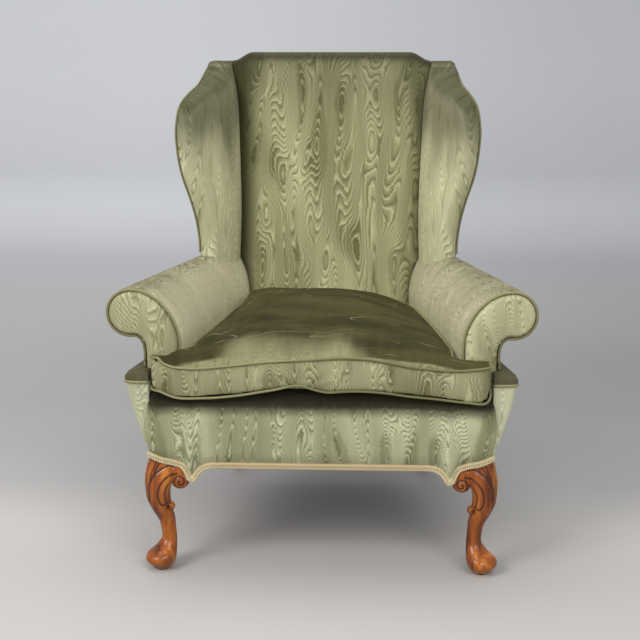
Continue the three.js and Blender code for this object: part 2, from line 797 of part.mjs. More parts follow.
function armOutline(y) {
  const inner = armX(y);
  const stem = stemX(y);
  const radius = scrollR(y);
  const x = scrollX(y);
  const z = scrollZ(y);
  const outline = [];
  for (let k = 0; k < ellipseSteps; k++) {
    const angle = (Math.PI * half * k) / ellipseSteps;
    const rise = (armTop - springLine) * Math.sin(angle) ** ellipseDroop;
    outline.push([x - (x - inner) * Math.cos(angle), springLine + rise]);
  }
  const endAngle = x < stem ? -Math.acos(Math.min((stem + stemLap - x) / radius, 1)) : underTurn;
  for (let k = 0; k <= scrollSteps; k++) {
    const angle = lerp(Math.PI * half, endAngle, k / scrollSteps);
    outline.push([x + radius * Math.cos(angle), z + radius * Math.sin(angle)]);
  }
  outline.push([stem, z - radius - underDrop]);
  return outline;
}

// A ring of the arm across the depth y; its last ring leans with the back stile
function armRing(y, insideAt, spread = 0) {
  const outer = armOutline(y);
  const middle = [scrollX(y), scrollZ(y)];
  const away = outer.map(([x, z]) => {
    const [dx, dz] = [x - middle[0], z - middle[1]];
    const long = Math.hypot(dx, dz);
    return [x + (dx / long) * spread, z + (dz / long) * spread];
  });
  return [[armX(y) - spread, armPadFoot - spread], ...away, ...insideAt(y)];
}

const armStations = [0, 0.2, 0.42, 0.64, 0.84, 1];
function armLoft(insideAt, spread = 0) {
  const start = facingY + gap - spread;
  const rings = armStations.map((share) => {
    const level = armRing(lerp(start, stileFront(armTop), share), insideAt, spread);
    const reachY = (height) => lerp(start, stileFront(height) - gap, share);
    return level.map(([, height], i) => {
      const settled = armRing(reachY(height), insideAt, spread)[i][1];
      const [x, z] = armRing(reachY(settled), insideAt, spread)[i];
      return point(x, reachY(settled), z);
    });
  });
  return loft(rings, { hollowed: true });
}

const armHull = (spread = gap) =>
  armLoft((y) => [[stemX(y) + spread, armPadFoot - spread]], spread);

function armPad() {
  const inside = (y) => {
    const edge = boardOuter(y) + gap;
    const wall = railInner(y) - gap;
    return [
      [Math.min(stemX(y), edge) - gap, boardUnder - gap],
      [edge, boardUnder - gap],
      [edge, boardTop + gap],
      [wall, boardTop + gap],
      [wall, armPadFoot],
    ];
  };
  return cut(armLoft(inside), wingPostBody(gap), armBoardEnvelope(), armPostBody(gap), postTopTenon(gap));
}
const armBoardEnvelope = () =>
  bar("y", [
    [postFront, boardInner(postFront), boardOuter(postFront), boardUnder, boardTop],
    [boardBackY, boardInner(boardBackY), boardOuter(boardBackY), boardUnder, boardTop],
  ], gap);

// Arm facing: the scroll-shaped panel on the front of the arm
function facingOutline(inset) {
  const y = facingY;
  const foot = deckHeight + gap;
  const outline = [[armX(y) + inset, foot], ...armOutline(y), [stemX(y), foot]];
  const corner = (i) => outline[(i + outline.length) % outline.length];
  return outline.map(([x, z], i) => {
    const [ax, az] = corner(i - 1);
    const [bx, bz] = corner(i + 1);
    const long = Math.hypot(bx - ax, bz - az);
    const across = [(bz - az) / long, -(bx - ax) / long];
    if (i === 0) return [x, z];
    if (i === outline.length - 1) return [x - inset, z];
    return [x + across[0] * inset, z + across[1] * inset];
  });
}
const facingEdge = 8;
const facingSoft = 13;
const facingShoulderShare = 0.7;
function armFacing(spread = 0) {
  const rings = [
    [facingEdge - spread, facingY - gap * half],
    [facingEdge - spread, facingY - facingThick * facingShoulderShare - spread],
    [facingSoft - spread, facingY - facingThick - spread],
  ].map(([inset, y]) => facingOutline(inset).map(([x, z]) => point(x, y, z)));
  return loft(rings, { hollowed: true });
}

function smoothLine(points, count) {
  return new THREE.CatmullRomCurve3(points, false, "centripetal").getPoints(count);
}

function facingWelt() {
  const y = facingY - weltRadius - gap;
  const line = facingOutline(facingEdge - weltRadius - gap)
    .slice(1, -1)
    .map(([x, z]) => point(x, y, z));
  const foot = point(line[0].x, y, deckHeight + cushionBoxing);
  return cut(roundCord([foot, ...line], weltRadius, weltSides, point(0, 1, 0)), armFacing(gap));
}

// Outer panel of the arm, from the seat rail's top to under the roll
function outsideArm() {
  const face = (offset) => (u, v) => {
    const z = (y) => lerp(railTop + gap, scrollZ(y) - scrollR(y) - underDrop - gap, v);
    const y = lerp(postFront, stileBack(lerp(railTop, springLine, v)), u);
    return point(stemX(y) - offset, y, z(y));
  };
  return sheet(6, 2, face(0), face(panelThick));
}

// Side border: padded panel from the hem to the ledge, round the corner at its front
const borderShares = [0.16, 0.4, 0.66, 0.84, 1];
const borderRiseShares = [0.03, 0.16, 0.48, 0.76, 1];
const cornerRound = 30;
const cornerAheadShares = [-0.98, -0.88, -0.6, -0.25];
const borderMiddleShares = [0.4, 0.7];
const ledgeCornerShare = 0.3;
const ledgeCrownShares = [[1.08, 0.3], [0.96, 0.74]]; // reach and rise of the ledge's rounded top
const ledgeLap = 1; // the corner's inner edge above the ledge's nose
const leastRound = 0.12;
function sideBorder() {
  const ring = (y, ahead, reachShare) => {
    const rail = railOuter(y) + gap;
    const stem = ahead ? rail : stemX(y) + gap;
    const share = clamp((y - frontY) / frameDepth, 0, 1);
    const reach = lerp(ledgeReach, ledgeReachBack, share) * reachShare;
    const low = hem(y - frontY);
    const outer = borderShares.map((s, i) => [
      rail + s * reach, lerp(low, ledgeHeight, borderRiseShares[i]),
    ]);
    const rise = ledgeRise * (ahead ? reachShare : 1);
    const crown = ledgeCrownShares.map(([out, up]) => [
      rail + reach * out, ledgeHeight + rise * up,
    ]);
    const inner = ahead
      ? [[rail + reach * ledgeCornerShare, ledgeHeight + rise], [rail, ledgeHeight + ledgeLap],
        [rail - gap * half, railTop + gap]]
      : [[stem, ledgeHeight + ledgeRise], [stem, railTop + gap], [rail, railTop + gap]];
    return [[rail, low], ...outer, ...crown, ...inner].map(([x, z]) => point(x, y, z));
  };
  const middle = facingY - facingThick - 2 * gap;
  const rings = cornerAheadShares.map((share) =>
    ring(frontY + borderBulge * share, true, Math.sqrt(1 - share * share)),
  );
  rings.push(ring(frontY, true, 1), ring(middle, true, 1), ring(middle + gap, false, 1));
  const hemPlaces = hemPlaceShares.slice(2).map((share) => frontY + share * hemSpan);
  for (const y of hemPlaces) if (y > middle + 2 * gap) rings.push(ring(y, false, 1));
  for (const share of borderMiddleShares) rings.push(ring(lerp(frontY, backY, share), false, 1));
  rings.push(ring(stileFoot, false, 1), ring(backY, false, 1));
  return cut(
    loft(rings, { hollowed: true }),
    armFacing(gap),
    legBody(gap),
    onSide(kneeBlockBody(gap)),
    frontBorderHull(gap),
  );
}

// Front border: padded roll over the front edge of the seat, down to the hem
const borderFaceShares = [0.3, 0.72, 0.93, 1, 0.95, 0.7, 0.3, -0.2];
const borderFaceHeightShares = [0, 0.12, 0.32, 0.52, 0.75, 0.9, 0.98, 1];
function frontBorderHull(spread = 0) {
  const end = frontHalf + spread;
  const places = [...hemPlaceShares.map((share) => share * hemSpan), lerp(hemSpan, frontHalf, half)];
  const stations = [...places.map((d) => d - frontHalf), 0, ...places.map((d) => frontHalf - d).reverse()];
  const rings = stations.map((x, i) => {
    const distance = frontHalf - Math.abs(x);
    const round = Math.sqrt(clamp(1 - (1 - distance / cornerRound) ** 2, leastRound, 1));
    const bulge = borderBulge * (distance < cornerRound ? round : 1) + spread;
    const low = hem(distance) - spread;
    const at = i === 0 ? -end : i === stations.length - 1 ? end : x;
    const outer = borderFaceShares.map((share, k) => [
      frontY - gap - bulge * share, lerp(low, deckHeight + spread, borderFaceHeightShares[k]),
    ]);
    const inner = [
      [facingY - gap + spread, deckHeight + spread],
      [facingY - gap + spread, armPadFoot - spread],
      [frontY - gap + spread, armPadFoot - spread],
      [frontY - gap + spread, low],
    ];
    return [...outer, ...inner].map(([y, z]) => point(at, y, z));
  });
  return loft(rings, { hollowed: true });
}
const mirrored = (geometry) => {
  const copy = geometry.clone().applyMatrix4(new THREE.Matrix4().makeScale(-1, 1, 1));
  copy.index.array.reverse();
  return copy;
};
const frontBorder = () => {
  const tools = [legBody(gap), kneeBlockBody(gap)];
  return cut(frontBorderHull(), ...tools, ...tools.map(mirrored));
};

// Webbing and hessian under and over the springs, the stuffing and its deck cover
const seatBackY = backRailY[0];
const crossStraps = 5;
const longStraps = 4;
const strapStartShare = 2.6; // first cross strap's middle from the rail, in strap widths
const strapEndShare = 1.5;
function seatWebbing() {
  const z1 = railUnder - gap;
  const z0 = z1 - webThick;
  const straps = [];
  for (let i = 0; i < crossStraps; i++) {
    const y = lerp(
      frontY + webWidth * strapStartShare, seatBackY - webWidth * strapEndShare, i / (crossStraps - 1),
    );
    const x = railInner(y) + railThick * half;
    straps.push(block(-x, x, y - webWidth * half, y + webWidth * half, z0, z1));
  }
  for (let i = 0; i < longStraps; i++) {
    const share = (i + half) / longStraps - half;
    const x = share * 2 * (railInner(seatBackY) - webWidth);
    straps.push(
      block(x - webWidth * half, x + webWidth * half, frontY + shoulder, backY - shoulder,
        z0 - webThick + gap, z0 + gap),
    );
  }
  const pads = straps.slice(crossStraps);
  const lifted = [frontY + shoulder, seatBackY + gap].flatMap((y) =>
    pads.map((_, i) => {
      const share = (i + half) / longStraps - half;
      const x = share * 2 * (railInner(seatBackY) - webWidth);
      return block(x - webWidth * half, x + webWidth * half, y, y + railThick - shoulder, z0, z1);
    }),
  );
  return join(straps[0], ...straps.slice(1), ...lifted);
}

const springRadius = 36;
const springWaist = 21;
const springTurns = 4;
const springWire = 1.9; // radius of the wire
const springSteps = 8;
const springSides = 4;
const springCount = 3; // along each row and each column
const springCover = 61.5; // stuffing and cloth over the springs
const twineRadius = 1.6;
const springStartShare = 2.1; // first spring's middle from the rail, in spring radii
const springEndShare = 2.2;
const springPitchShare = 0.64;
const springTaper = 1.2; // exponent of the hourglass
const springOrder = Array.from({ length: springCount }, (_, i) => i);
function springPlaces() {
  const first = frontY + railThick + springRadius * springStartShare;
  const last = padFoot - springRadius * springEndShare;
  return springOrder.flatMap((j) => {
    const y = lerp(first, last, j / (springCount - 1));
    const pitch = (railInner(y) - springRadius * 2) * springPitchShare;
    return springOrder.map((i) => [lerp(-pitch, pitch, i / (springCount - 1)), y]);
  });
}
const springFoot = railUnder - gap + springWire + gap;
const springHeight = deckHeight - springCover - springFoot;
function seatSprings() {
  const wound = springPlaces().map(([x, y]) => {
    const steps = springTurns * springSteps;
    const points = Array.from({ length: steps + 1 }, (_, k) => {
      const share = k / steps;
      const angle = (2 * Math.PI * k) / springSteps;
      const radius = lerp(springWaist, springRadius, Math.abs(2 * share - 1) ** springTaper);
      return point(
        x + radius * Math.cos(angle), y + radius * Math.sin(angle), springFoot + share * springHeight,
      );
    });
    return roundCord(points, springWire, springSides, point(0, 0, 1));
  });
  const z = springFoot + springHeight;
  const places = springPlaces();
  const twines = springOrder.flatMap((j) => {
    const row = places.slice(j * springCount, (j + 1) * springCount);
    const column = springOrder.map((k) => places[k * springCount + j]);
    return [row, column].map((line) => {
      const points = line.map(([x, y]) => point(x + springRadius, y, z));
      return roundCord(points, twineRadius, 4, point(0, 0, 1));
    });
  });
  return join(wound[0], ...wound.slice(1), ...twines);
}

const stuffingSide = 2 * gap;
const domeTop = springFoot + springHeight + springWire + 3 * gap;
const domeAcrossShares = [-1, -0.93, -0.86, -0.76, -0.4, 0, 0.4, 0.76, 0.86, 0.93, 1];
const domeAlongShares = [0, 0.04, 0.085, 0.3, 0.5, 0.7, 0.915, 0.96, 1];
const domeSideShare = 0.2;
const domeEndShare = 0.085;
const seatStart = facingY + 2 * gap;
const seatEnd = padFoot - 2 * gap;
const seatY = (v) => lerp(seatStart, seatEnd, v);
const domeX = (u, y) => u * (armX(y) - (Math.abs(u) === 1 ? stuffingSide : 0));
const seatRise = (u, v) =>
  smooth(1 - Math.abs(u), 0, domeSideShare) * smooth(v, 0, domeEndShare) *
  smooth(1 - v, 0, domeEndShare);
const tackRoom = 8; // how far the hessian reaches over each rail
function springHessian() {
  const columns = [-1, ...domeAcrossShares, 1];
  const lines = [
    { y: frontY + shoulder, reach: frontRailEnd - gap },
    ...domeAlongShares.map((v) => ({
      y: seatY(v), v,
      reach: Math.min(railInner(seatY(v)) - gap, v < domeEndShare * half ? frontRailEnd - gap : Infinity) +
        (v > domeEndShare * 2 ? tackRoom : 0),
    })),
    { y: stileFoot - 2 * gap, reach: stileInner(0) - gap },
    { y: seatBackY + tackRoom, reach: stileInner(0) - gap },
  ];
  const face = (lift) => (u, v) => {
    const line = lines[Math.round(v * (lines.length - 1))];
    const i = Math.round(u * (columns.length - 1));
    const edge = i === 0 || i === columns.length - 1;
    const x = edge ? columns[i] * line.reach : domeX(columns[i], line.y);
    const rise = edge || line.v === undefined ? 0 : seatRise(columns[i], line.v);
    return point(x, line.y, lerp(railTop + gap, domeTop, rise) + lift);
  };
  return sheet(columns.length - 1, lines.length - 1, face(0), face(clothThick));
}
const stuffingTop = deckHeight - clothThick - gap;
function seatStuffing() {
  const count = [domeAcrossShares.length - 1, domeAlongShares.length - 1];
  const place = (u, v) => {
    const across = domeAcrossShares[Math.round(u * count[0])];
    const along = domeAlongShares[Math.round(v * count[1])];
    const y = seatY(along);
    return { x: domeX(across, y), y, rise: seatRise(across, along) };
  };
  const top = (u, v) => {
    const { x, y } = place(u, v);
    return point(x, y, stuffingTop);
  };
  const under = (u, v) => {
    const { x, y, rise } = place(u, v);
    return point(x, y, lerp(railTop + gap, domeTop, rise) + clothThick + 2 * gap);
  };
  return sheet(...count, top, under);
}
function deckCover() {
  const face = (z) => (u, v) => {
    const y = seatY(v);
    return point(lerp(-1, 1, u) * (armX(y) - stuffingSide), y, z);
  };
  return sheet(2, 2, face(stuffingTop + gap), face(deckHeight));
}
function dustCover() {
  const z = railUnder - 2 * webThick - 2 * gap;
  const kneeX = legX - bracketReach - 2 * gap;
  const kneeY = legY + bracketReach + 2 * gap;
  const side = (y) => railInner(y) + railThick * half;
  const rightSide = [
    [kneeX, frontY + shoulder],
    [kneeX, legY + blockWidth * half],
    [kneeX + blockWidth * half, kneeY],
    [side(kneeY), kneeY],
    [side(stileFoot), stileFoot - gap],
    [stileInner(0) - gap, stileFoot - gap],
    [stileInner(0) - gap, backY - shoulder],
  ];
  const leftSide = [...rightSide].reverse().map(([x, y]) => [-x, y]);
  return slab([...rightSide, ...leftSide], z - clothThick * half, z);
}

// Back webbing, on the front of the raked stiles
const backStrapRows = [0.04, 0.24, 0.44, 0.64, 0.84];
const backStrapColumns = [-0.72, 0, 0.72];
const strapTuck = 3.6; // strap's end over the stile's inner edge
function backWebbing() {
  const z0 = stayUnder + shoulder;
  const z1 = crestRailTop - shoulder;
  const strap = (x0, x1, low, high, lift) => {
    const ring = (x) => [
      point(x, stileFront(low) - gap - lift, low),
      point(x, stileFront(high) - gap - lift, high),
      point(x, stileFront(high) - gap - lift - webThick, high),
      point(x, stileFront(low) - gap - lift - webThick, low),
    ];
    return loft([ring(x0), ring(x1)]);
  };
  const across = backStrapRows.map((share) => {
    const low = lerp(boardTop + webWidth, z1 - webWidth, share);
    const x = stileInner(low) + strapTuck;
    return strap(-x, x, low, low + webWidth, 0);
  });
  const up = backStrapColumns.map((share) => {
    const x = share * (stileInner(0) - webWidth);
    return strap(x - webWidth * half, x + webWidth * half, z0, z1, webThick - gap);
  });
  return join(across[0], ...across.slice(1), ...up);
}

// Back pad: padded front of the back with its crest roll
const crestDip = 20; // loss of height where the crest meets the wings
const backCrown = 14;
const backEdge = 26;
const backGap = 1.5;
const backReachShare = 0.72; // middle to the pad's sides before the wings cut them
const backCrownShare = 1.2; // how square the crown is across
const backSwellPower = 0.6;
const backEdgePower = 8;
const crestRollEnd = 2.2; // back of the crest roll, as a share of its depth
const railClear = 1; // roll above the crest rail
const crestFore = 54; // depth from the pad's front to the crest's highest line
const crestRollShares = [
  [0.06, 0.44], [0.34, 0.8], [0.95, 1], [1.55, 0.96], [2.0, 0.74], [crestRollEnd, 0.46],
];
const backHeightShares = [0, 0.16, 0.27, 0.41, 0.55, 0.69, 0.82, 0.94];
const backColumns = [-1, -0.95, -0.84, -0.62, -0.33, 0, 0.33, 0.62, 0.84, 0.95, 1];
function grooveX(z) {
  const share = clamp((z - wingFoot) / (wingTop - wingFoot), 0, 1);
  let i = 1;
  while (i < wingHeightShares.length - 1 && share > wingHeightShares[i]) i++;
  const [a, b] = [wingHeightShares[i - 1], wingHeightShares[i]];
  const t = clamp((share - a) / (b - a), 0, 1);
  return lerp(grooveShares[i - 1], grooveShares[i], t) * wingReach;
}
function backPad() {
  const low = armPadFoot;
  const shoulderHeight = crestTop - crestFore * half;
  const rings = backColumns.map((column) => {
    const drop = crestDip * smooth(Math.abs(column), 0.78, 1);
    const edge = backEdge * Math.abs(column) ** backEdgePower;
    const x = (z) =>
      column * (Math.abs(column) < 1 ? grooveX(z) - backGap : backReachShare * wingReach);
    const front = backHeightShares.map((share) => {
      const z = lerp(low, shoulderHeight, share);
      const swell =
        Math.sin(Math.PI * share) ** backSwellPower * smooth(z, padRestHeight, springLine);
      const crown = backCrown * (backCrownShare - column * column) * swell;
      return point(x(z), padFront(z) - crown + edge, z);
    });
    const base = padFront(shoulderHeight);
    const rail = crestRailTop + gap;
    const roll = crestRollShares.map(([y, z]) => {
      const least = y > 1 ? rail + railClear : 0;
      const height = Math.max(lerp(shoulderHeight - drop, crestTop - drop, z), least);
      return point(x(height), base + crestFore * y + edge * (1 - y / crestRollEnd), height);
    });
    const inner = [
      point(x(rail), stileFront(rail) - webbingRoom - gap, rail),
      point(x(low), stileFront(low) - webbingRoom - gap, low),
    ];
    const back = point(x(rail), base + crestFore * crestRollEnd, rail);
    return [...front, ...roll, back, ...inner];
  });
  const sides = [armHull(), grooveEnvelope()];
  return cut(loft(rings, { hollowed: true }), ...sides, ...sides.map(mirrored), deckEnvelope());
}
// The room that the wings take beside the back pad
function grooveEnvelope() {
  const station = (z, x) => [z, x - gap, scrollReach, 0, frameDepth];
  const levels = rows.map((i) => wingRow(i)).map(({ z, groove }) => station(z, groove.x));
  const top = wingRow(rows.length - 1).groove.x;
  return bar("z", [station(armPadFoot - gap, wingRow(0).groove.x), ...levels, station(2 * crestTop, top)]);
}
const deckEnvelope = () =>
  bar("z", [
    [0, -frontHalf, frontHalf, frontY, padFoot - gap],
    [deckHeight + gap, -frontHalf, frontHalf, frontY, padFoot - gap],
  ]);

const wingPad = () =>
  cut(
    loft(rows.map(wingPadRing), { hollowed: true }),
    armHull(),
    backLegBody(gap),
    wingPostBody(gap),
    wingRailBody(gap),
    crestRailBody(gap),
    crestTenon(gap),
  );

// Outer panel of the wing, and the welt along the wing's edge
const panelStartShare = 0.3; // panel's front edge past the roll's middle, in roll radii
const wingWeltTurn = 2.62; // angle round the roll from its inner side
const wingWeltSteps = 16;
const weltSides = 6;
function outsideWing() {
  const front = (i) => {
    const { place, length } = wingRow(i);
    return place(length + wingRoll * panelStartShare, 2 * wingRoll + 2 * gap);
  };
  const rearY = stileBack(boardUnder);
  const foot = scrollZ(rearY) - scrollR(rearY) - underDrop + 2 * gap;
  const rearHeight = (v) => lerp(foot, stileTop, v);
  const face = (offset) => (u, v) => {
    const at = v * (rows.length - 1);
    const i = Math.min(Math.floor(at), rows.length - 2);
    const fore = front(i).lerp(front(i + 1), at - i);
    const z = rearHeight(v);
    const rear = point(stileOuter(z) + 4 * gap, stileBack(z), z);
    return fore.lerp(rear, u).add(point(offset, 0, 0));
  };
  return cut(sheet(6, rows.length - 1, face(0), face(panelThick)), armHull(), wingPad());
}
function wingWelt() {
  const away = wingRoll + weltRadius + gap;
  const line = rows.map((i) => {
    const { place, length } = wingRow(i);
    return place(
      length + away * Math.sin(wingWeltTurn), wingRoll - away * Math.cos(wingWeltTurn),
    );
  });
  const cord = roundCord(
    smoothLine(line.slice(1), wingWeltSteps), weltRadius, weltSides, point(0, 1, 0),
  );
  return cut(cord, armHull(), wingPad(), outsideWing());
}

// Outer panel of the back, and the welt along its top
function outsideBack() {
  const levels = [railUnder + shoulder, railTop, crestRailTop];
  const ring = (z, i) => {
    const y = (i === 0 ? backY : stileBack(z)) + gap;
    const x = stileOuter(z) + panelThick;
    return [point(-x, y, z), point(x, y, z), point(x, y + panelThick, z), point(-x, y + panelThick, z)];
  };
  return loft(levels.map(ring));
}
const crestWeltShares = [-1, -0.75, 0.75, 1];
function crestWelt() {
  const y = stileBack(crestRailTop) + 2 * gap + weltRadius;
  const z = crestRailTop + gap + weltRadius;
  const reach = stileOuter(stileTop) + panelThick;
  const points = crestWeltShares.map((share) => point(share * reach, y, z));
  return cut(roundCord(points, weltRadius, weltSides, point(0, 0, 1)), backPad());
}

// Ledge welt, from the front corner back along the nose of the ledge
const ledgeCornerSteps = 5;
const ledgeShares = [0.35, 0.7, 1];
function ledgeWelt() {
  const line = [];
  for (let k = 0; k <= ledgeCornerSteps; k++) {
    const angle = (Math.PI * half * k) / ledgeCornerSteps;
    line.push(point(
      frontHalf + 2 * gap + (ledgeReach + weltRadius) * Math.sin(angle),
      frontY - (borderBulge + weltRadius + gap) * Math.cos(angle) - gap,
      ledgeHeight,
    ));
  }
  for (const share of ledgeShares) {
    const y = lerp(frontY, backY, share);
    line.push(point(
      sideX(y) + lerp(ledgeReach, ledgeReachBack, share) + weltRadius + 2 * gap, y, ledgeHeight,
    ));
  }
  return cut(roundCord(line, weltRadius, weltSides, point(0, 0, 1)), sideBorder(), frontBorderHull(gap));
}

// Gimp: a flat braid over the lower edge of the cover, round the front and both sides
const braidLap = 1; // braid ahead of the border's lower edge
function gimpBraid() {
  const spots = [];
  const add = (x, y, distance, out) => spots.push({ x, y, z: hem(distance) + gimpWidth * half, out });
  const face = borderBulge * borderFaceShares[0] + 3 * gap;
  const side = point(1, (frontHalf - backHalf) / frameDepth, 0).normalize();
  const stations = hemPlaceShares.slice(1).reverse();
  const rear = backY - shoulder;
  add(railOuter(rear) + face, rear, frameDepth, side);
  add(railOuter(stileFoot) + face, stileFoot, frameDepth, side);
  add(sideX(0) + face, 0, frameDepth, side);
  for (const s of stations)
    add(sideX(frontY + s * hemSpan) + face, frontY + s * hemSpan, s * hemSpan, side);
  const corner = face * Math.SQRT1_2;
  add(frontHalf + corner, frontY - corner, 0, point(1, -1, 0).normalize());
  const ahead = point(0, -1, 0);
  for (const s of [...stations].reverse())
    add(frontHalf - s * hemSpan, frontY - face - braidLap, s * hemSpan, ahead);
  const leftHalf = [...spots].reverse().map(({ x, y, z, out }) => ({
    x: -x, y, z, out: point(-out.x, out.y, 0),
  }));
  const rings = [...spots, ...leftHalf].map(({ x, y, z, out }) => {
    const foot = point(x, y, z - gimpWidth * half);
    const inner = foot.clone();
    const outer = foot.clone().addScaledVector(out, gimpThick);
    return [inner, outer, outer.clone().setZ(z + gimpWidth * half), inner.clone().setZ(z + gimpWidth * half)];
  });
  const tools = [sideBorder(), legBody(gap), kneeBlockBody(gap), onSide(kneeBlockBody(gap))];
  return cut(loft(rings), frontBorder(), ...tools, ...tools.map(mirrored));
}

// Cushion: a T in plan, its rows running back from the front. Each row gives its place as a
// share of the depth from the ears' back to the rear, or of the ears, and how the side lies.
const weltRoom = 2 * weltRadius + 4 * gap;
const earFront = -(cushionAhead - weltRoom);
const earBack = facingY - facingThick - weltRoom - 2 * gap;
const cushionRear = padFoot - weltRoom;
const earHalf = cushionReach - weltRoom;
const cushionRowShares = [-1, -0.9, -0.6, -0.2, 0, 0.006, 0.1, 0.25, 0.4, 0.55, 0.7, 0.85, 0.95, 1];
const cornerInShares = [0.045, 0.015, 0, 0.004, 0.03, 0, 0, 0, 0, 0, 0, 0, 0.012, 0.05];
const cushionColumnShares = [-1, -0.985, -0.93, -0.8, -0.6, -0.3, 0, 0.3, 0.6, 0.8, 0.93, 0.985, 1];
const drawIn = 5; // the cushion's sides pulled in between their corners
const neckEase = 60; // depth over which the neck draws in beside the facings
const sideProud = 1; // the cushion's widest line past its seams
const frontDip = 8; // top seam lower beside the front's middle
const cornerRise = 10; // and higher at the front corners
const sideSeamShares = [0.48, 0.52]; // the boxing's widest line
const crownPower = { side: 3, sideRound: 0.8, endRound: 0.6, endSpan: 3.2, endReach: 1.02 };
const bottomFrontShare = -0.8; // rows ahead of this hang over the border
const bottomRound = 1.5;
const rowY = (share) => (share <= 0 ? lerp(earBack, earFront, -share) : lerp(earBack, cushionRear, share));
const neckX = (y) => armX(y) - weltRoom - 2 * weltRadius * smooth(-y, facingAhead - neckEase, facingAhead);
function rowHalf(i) {
  const share = cushionRowShares[i];
  const full = share <= 0 ? earHalf : neckX(rowY(share));
  return full * (1 - cornerInShares[i]);
}
const frontShare = (share) => clamp(-share, 0, 1);
const cushionBase = deckHeight + 2 * gap;
const dipShares = [0.05, 0.6];
const cornerShares = [0.8, 1];
const frontSag = 14; // how far the front corners hang over the border
const middleLift = 9; // how far the front's middle stands off it
const rearLift = 14;
const rearShares = [0, 0.7];
const weltTop = (u, share) =>
  cushionBase + cushionBoxing + rearLift * smooth(share, ...rearShares) -
  frontShare(share) *
    (frontDip * smooth(Math.abs(u), ...dipShares) - cornerRise * smooth(Math.abs(u), ...cornerShares));
const weltUnder = (u, share) =>
  cushionBase + (share < bottomFrontShare ? middleLift - (frontSag + middleLift) * Math.abs(u) ** bottomRound : 0);
const cushionSide = (height, u, share) => lerp(weltUnder(u, share), weltTop(u, share), height);
function cushionPoint(i, j, height) {
  const u = cushionColumnShares[i];
  const share = cushionRowShares[j];
  const frontPull = drawIn * (1 - u * u) * frontShare(share) ** 2;
  const x = u * (rowHalf(j) + (Math.abs(u) === 1 ? sideProud : 0));
  return point(x, rowY(share) + frontPull, height(u, share, i, j));
}
function seatCushion() {
  const [across, along] = [cushionColumnShares.length - 1, cushionRowShares.length - 1];
  const edge = (i, j) => i === 0 || i === across || j === 0 || j === along;
  const top = (u, share, i, j) => {
    if (edge(i, j)) return cushionSide(sideSeamShares[1], u, share);
    const { side: power, sideRound, endRound, endSpan, endReach } = crownPower;
    const side = (1 - Math.abs(u) ** power) ** sideRound;
    const ends = Math.min(1, (endReach - Math.abs(share)) * endSpan) ** endRound;
    return weltTop(u, share) + cushionCrown * side * ends - rearLift * smooth(share, ...rearShares) * side;
  };
  const under = (u, share, i, j) =>
    edge(i, j) ? cushionSide(sideSeamShares[0], u, share) : Math.max(weltUnder(u, share), cushionBase);
  const face = (height) => (u, v) => cushionPoint(Math.round(u * across), Math.round(v * along), height);
  return sheet(across, along, face(top), face(under));
}
function cushionWelt(height) {
  const away = weltRadius + 2 * gap;
  const rightSide = cushionRowShares.map((share, j) => [rowHalf(j), rowY(share), 1, share]);
  const inner = cushionColumnShares.slice(1, -1);
  const front = inner.map((u) => [u * rowHalf(0), earFront + drawIn * (1 - u * u), u, -1]);
  const rear = [...inner].reverse().map((u) => [u * rowHalf(cushionRowShares.length - 1), cushionRear, u, 1]);
  const leftSide = [...rightSide].reverse().map(([x, y, , share]) => [-x, y, -1, share]);
  const line = [...front, ...rightSide, ...rear, ...leftSide];
  const side = (a, b) => new THREE.Vector2(b[1] - a[1], a[0] - b[0]).normalize();
  return line.map((place, i) => {
    const before = side(line[(i + line.length - 1) % line.length], place);
    const after = side(place, line[(i + 1) % line.length]);
    const [x, y, u, share] = place;
    const mitre = before.clone().add(after).multiplyScalar(away / (1 + before.dot(after)));
    return point(x + mitre.x, y + mitre.y, height(u, share));
  });
}
const weltOver = () => cushionWelt((u, share) => weltTop(u, share) - weltRadius);
const weltBelow = () => cushionWelt((u, share) => weltUnder(u, share) + weltRadius);
const cushionCordSides = 5;
const cushionCord = (line) => roundCord(line, weltRadius, cushionCordSides, point(0, 0, 1), true);

// The chair: centre pieces, then one side and its mirror image
const chair = new THREE.Group();
const add = (parent, name, geometry, finish) => {
  const mesh = new THREE.Mesh(geometry, finish);
  mesh.name = name;
  parent.add(mesh);
  return mesh;
};

add(chair, "front_rail", frontRail(), beech);
add(chair, "back_rail", backRail(), beech);
add(chair, "crest_rail", crestRail(), beech);
add(chair, "back_stay_rail", backStayRail(), beech);
add(chair, "seat_webbing", seatWebbing(), jute);
add(chair, "seat_springs", seatSprings(), wire);
add(chair, "spring_hessian", springHessian(), sacking);
add(chair, "seat_stuffing", seatStuffing(), stuffing);
add(chair, "deck_cover", deckCover(), calico);
add(chair, "dust_cover", dustCover(), lining);
add(chair, "front_border", frontBorder(), cover);
add(chair, "back_webbing", backWebbing(), jute);
add(chair, "back_pad", backPad(), cover);
add(chair, "outside_back", outsideBack(), cover);
add(chair, "crest_welt", crestWelt(), trimCover);
add(chair, "gimp_braid", gimpBraid(), gimpFinish);
add(chair, "seat_cushion", seatCushion(), cushionCover);
add(chair, "cushion_welt_top", cushionCord(weltOver()), trimCover);
add(chair, "cushion_welt_bottom", cushionCord(weltBelow()), trimCover);

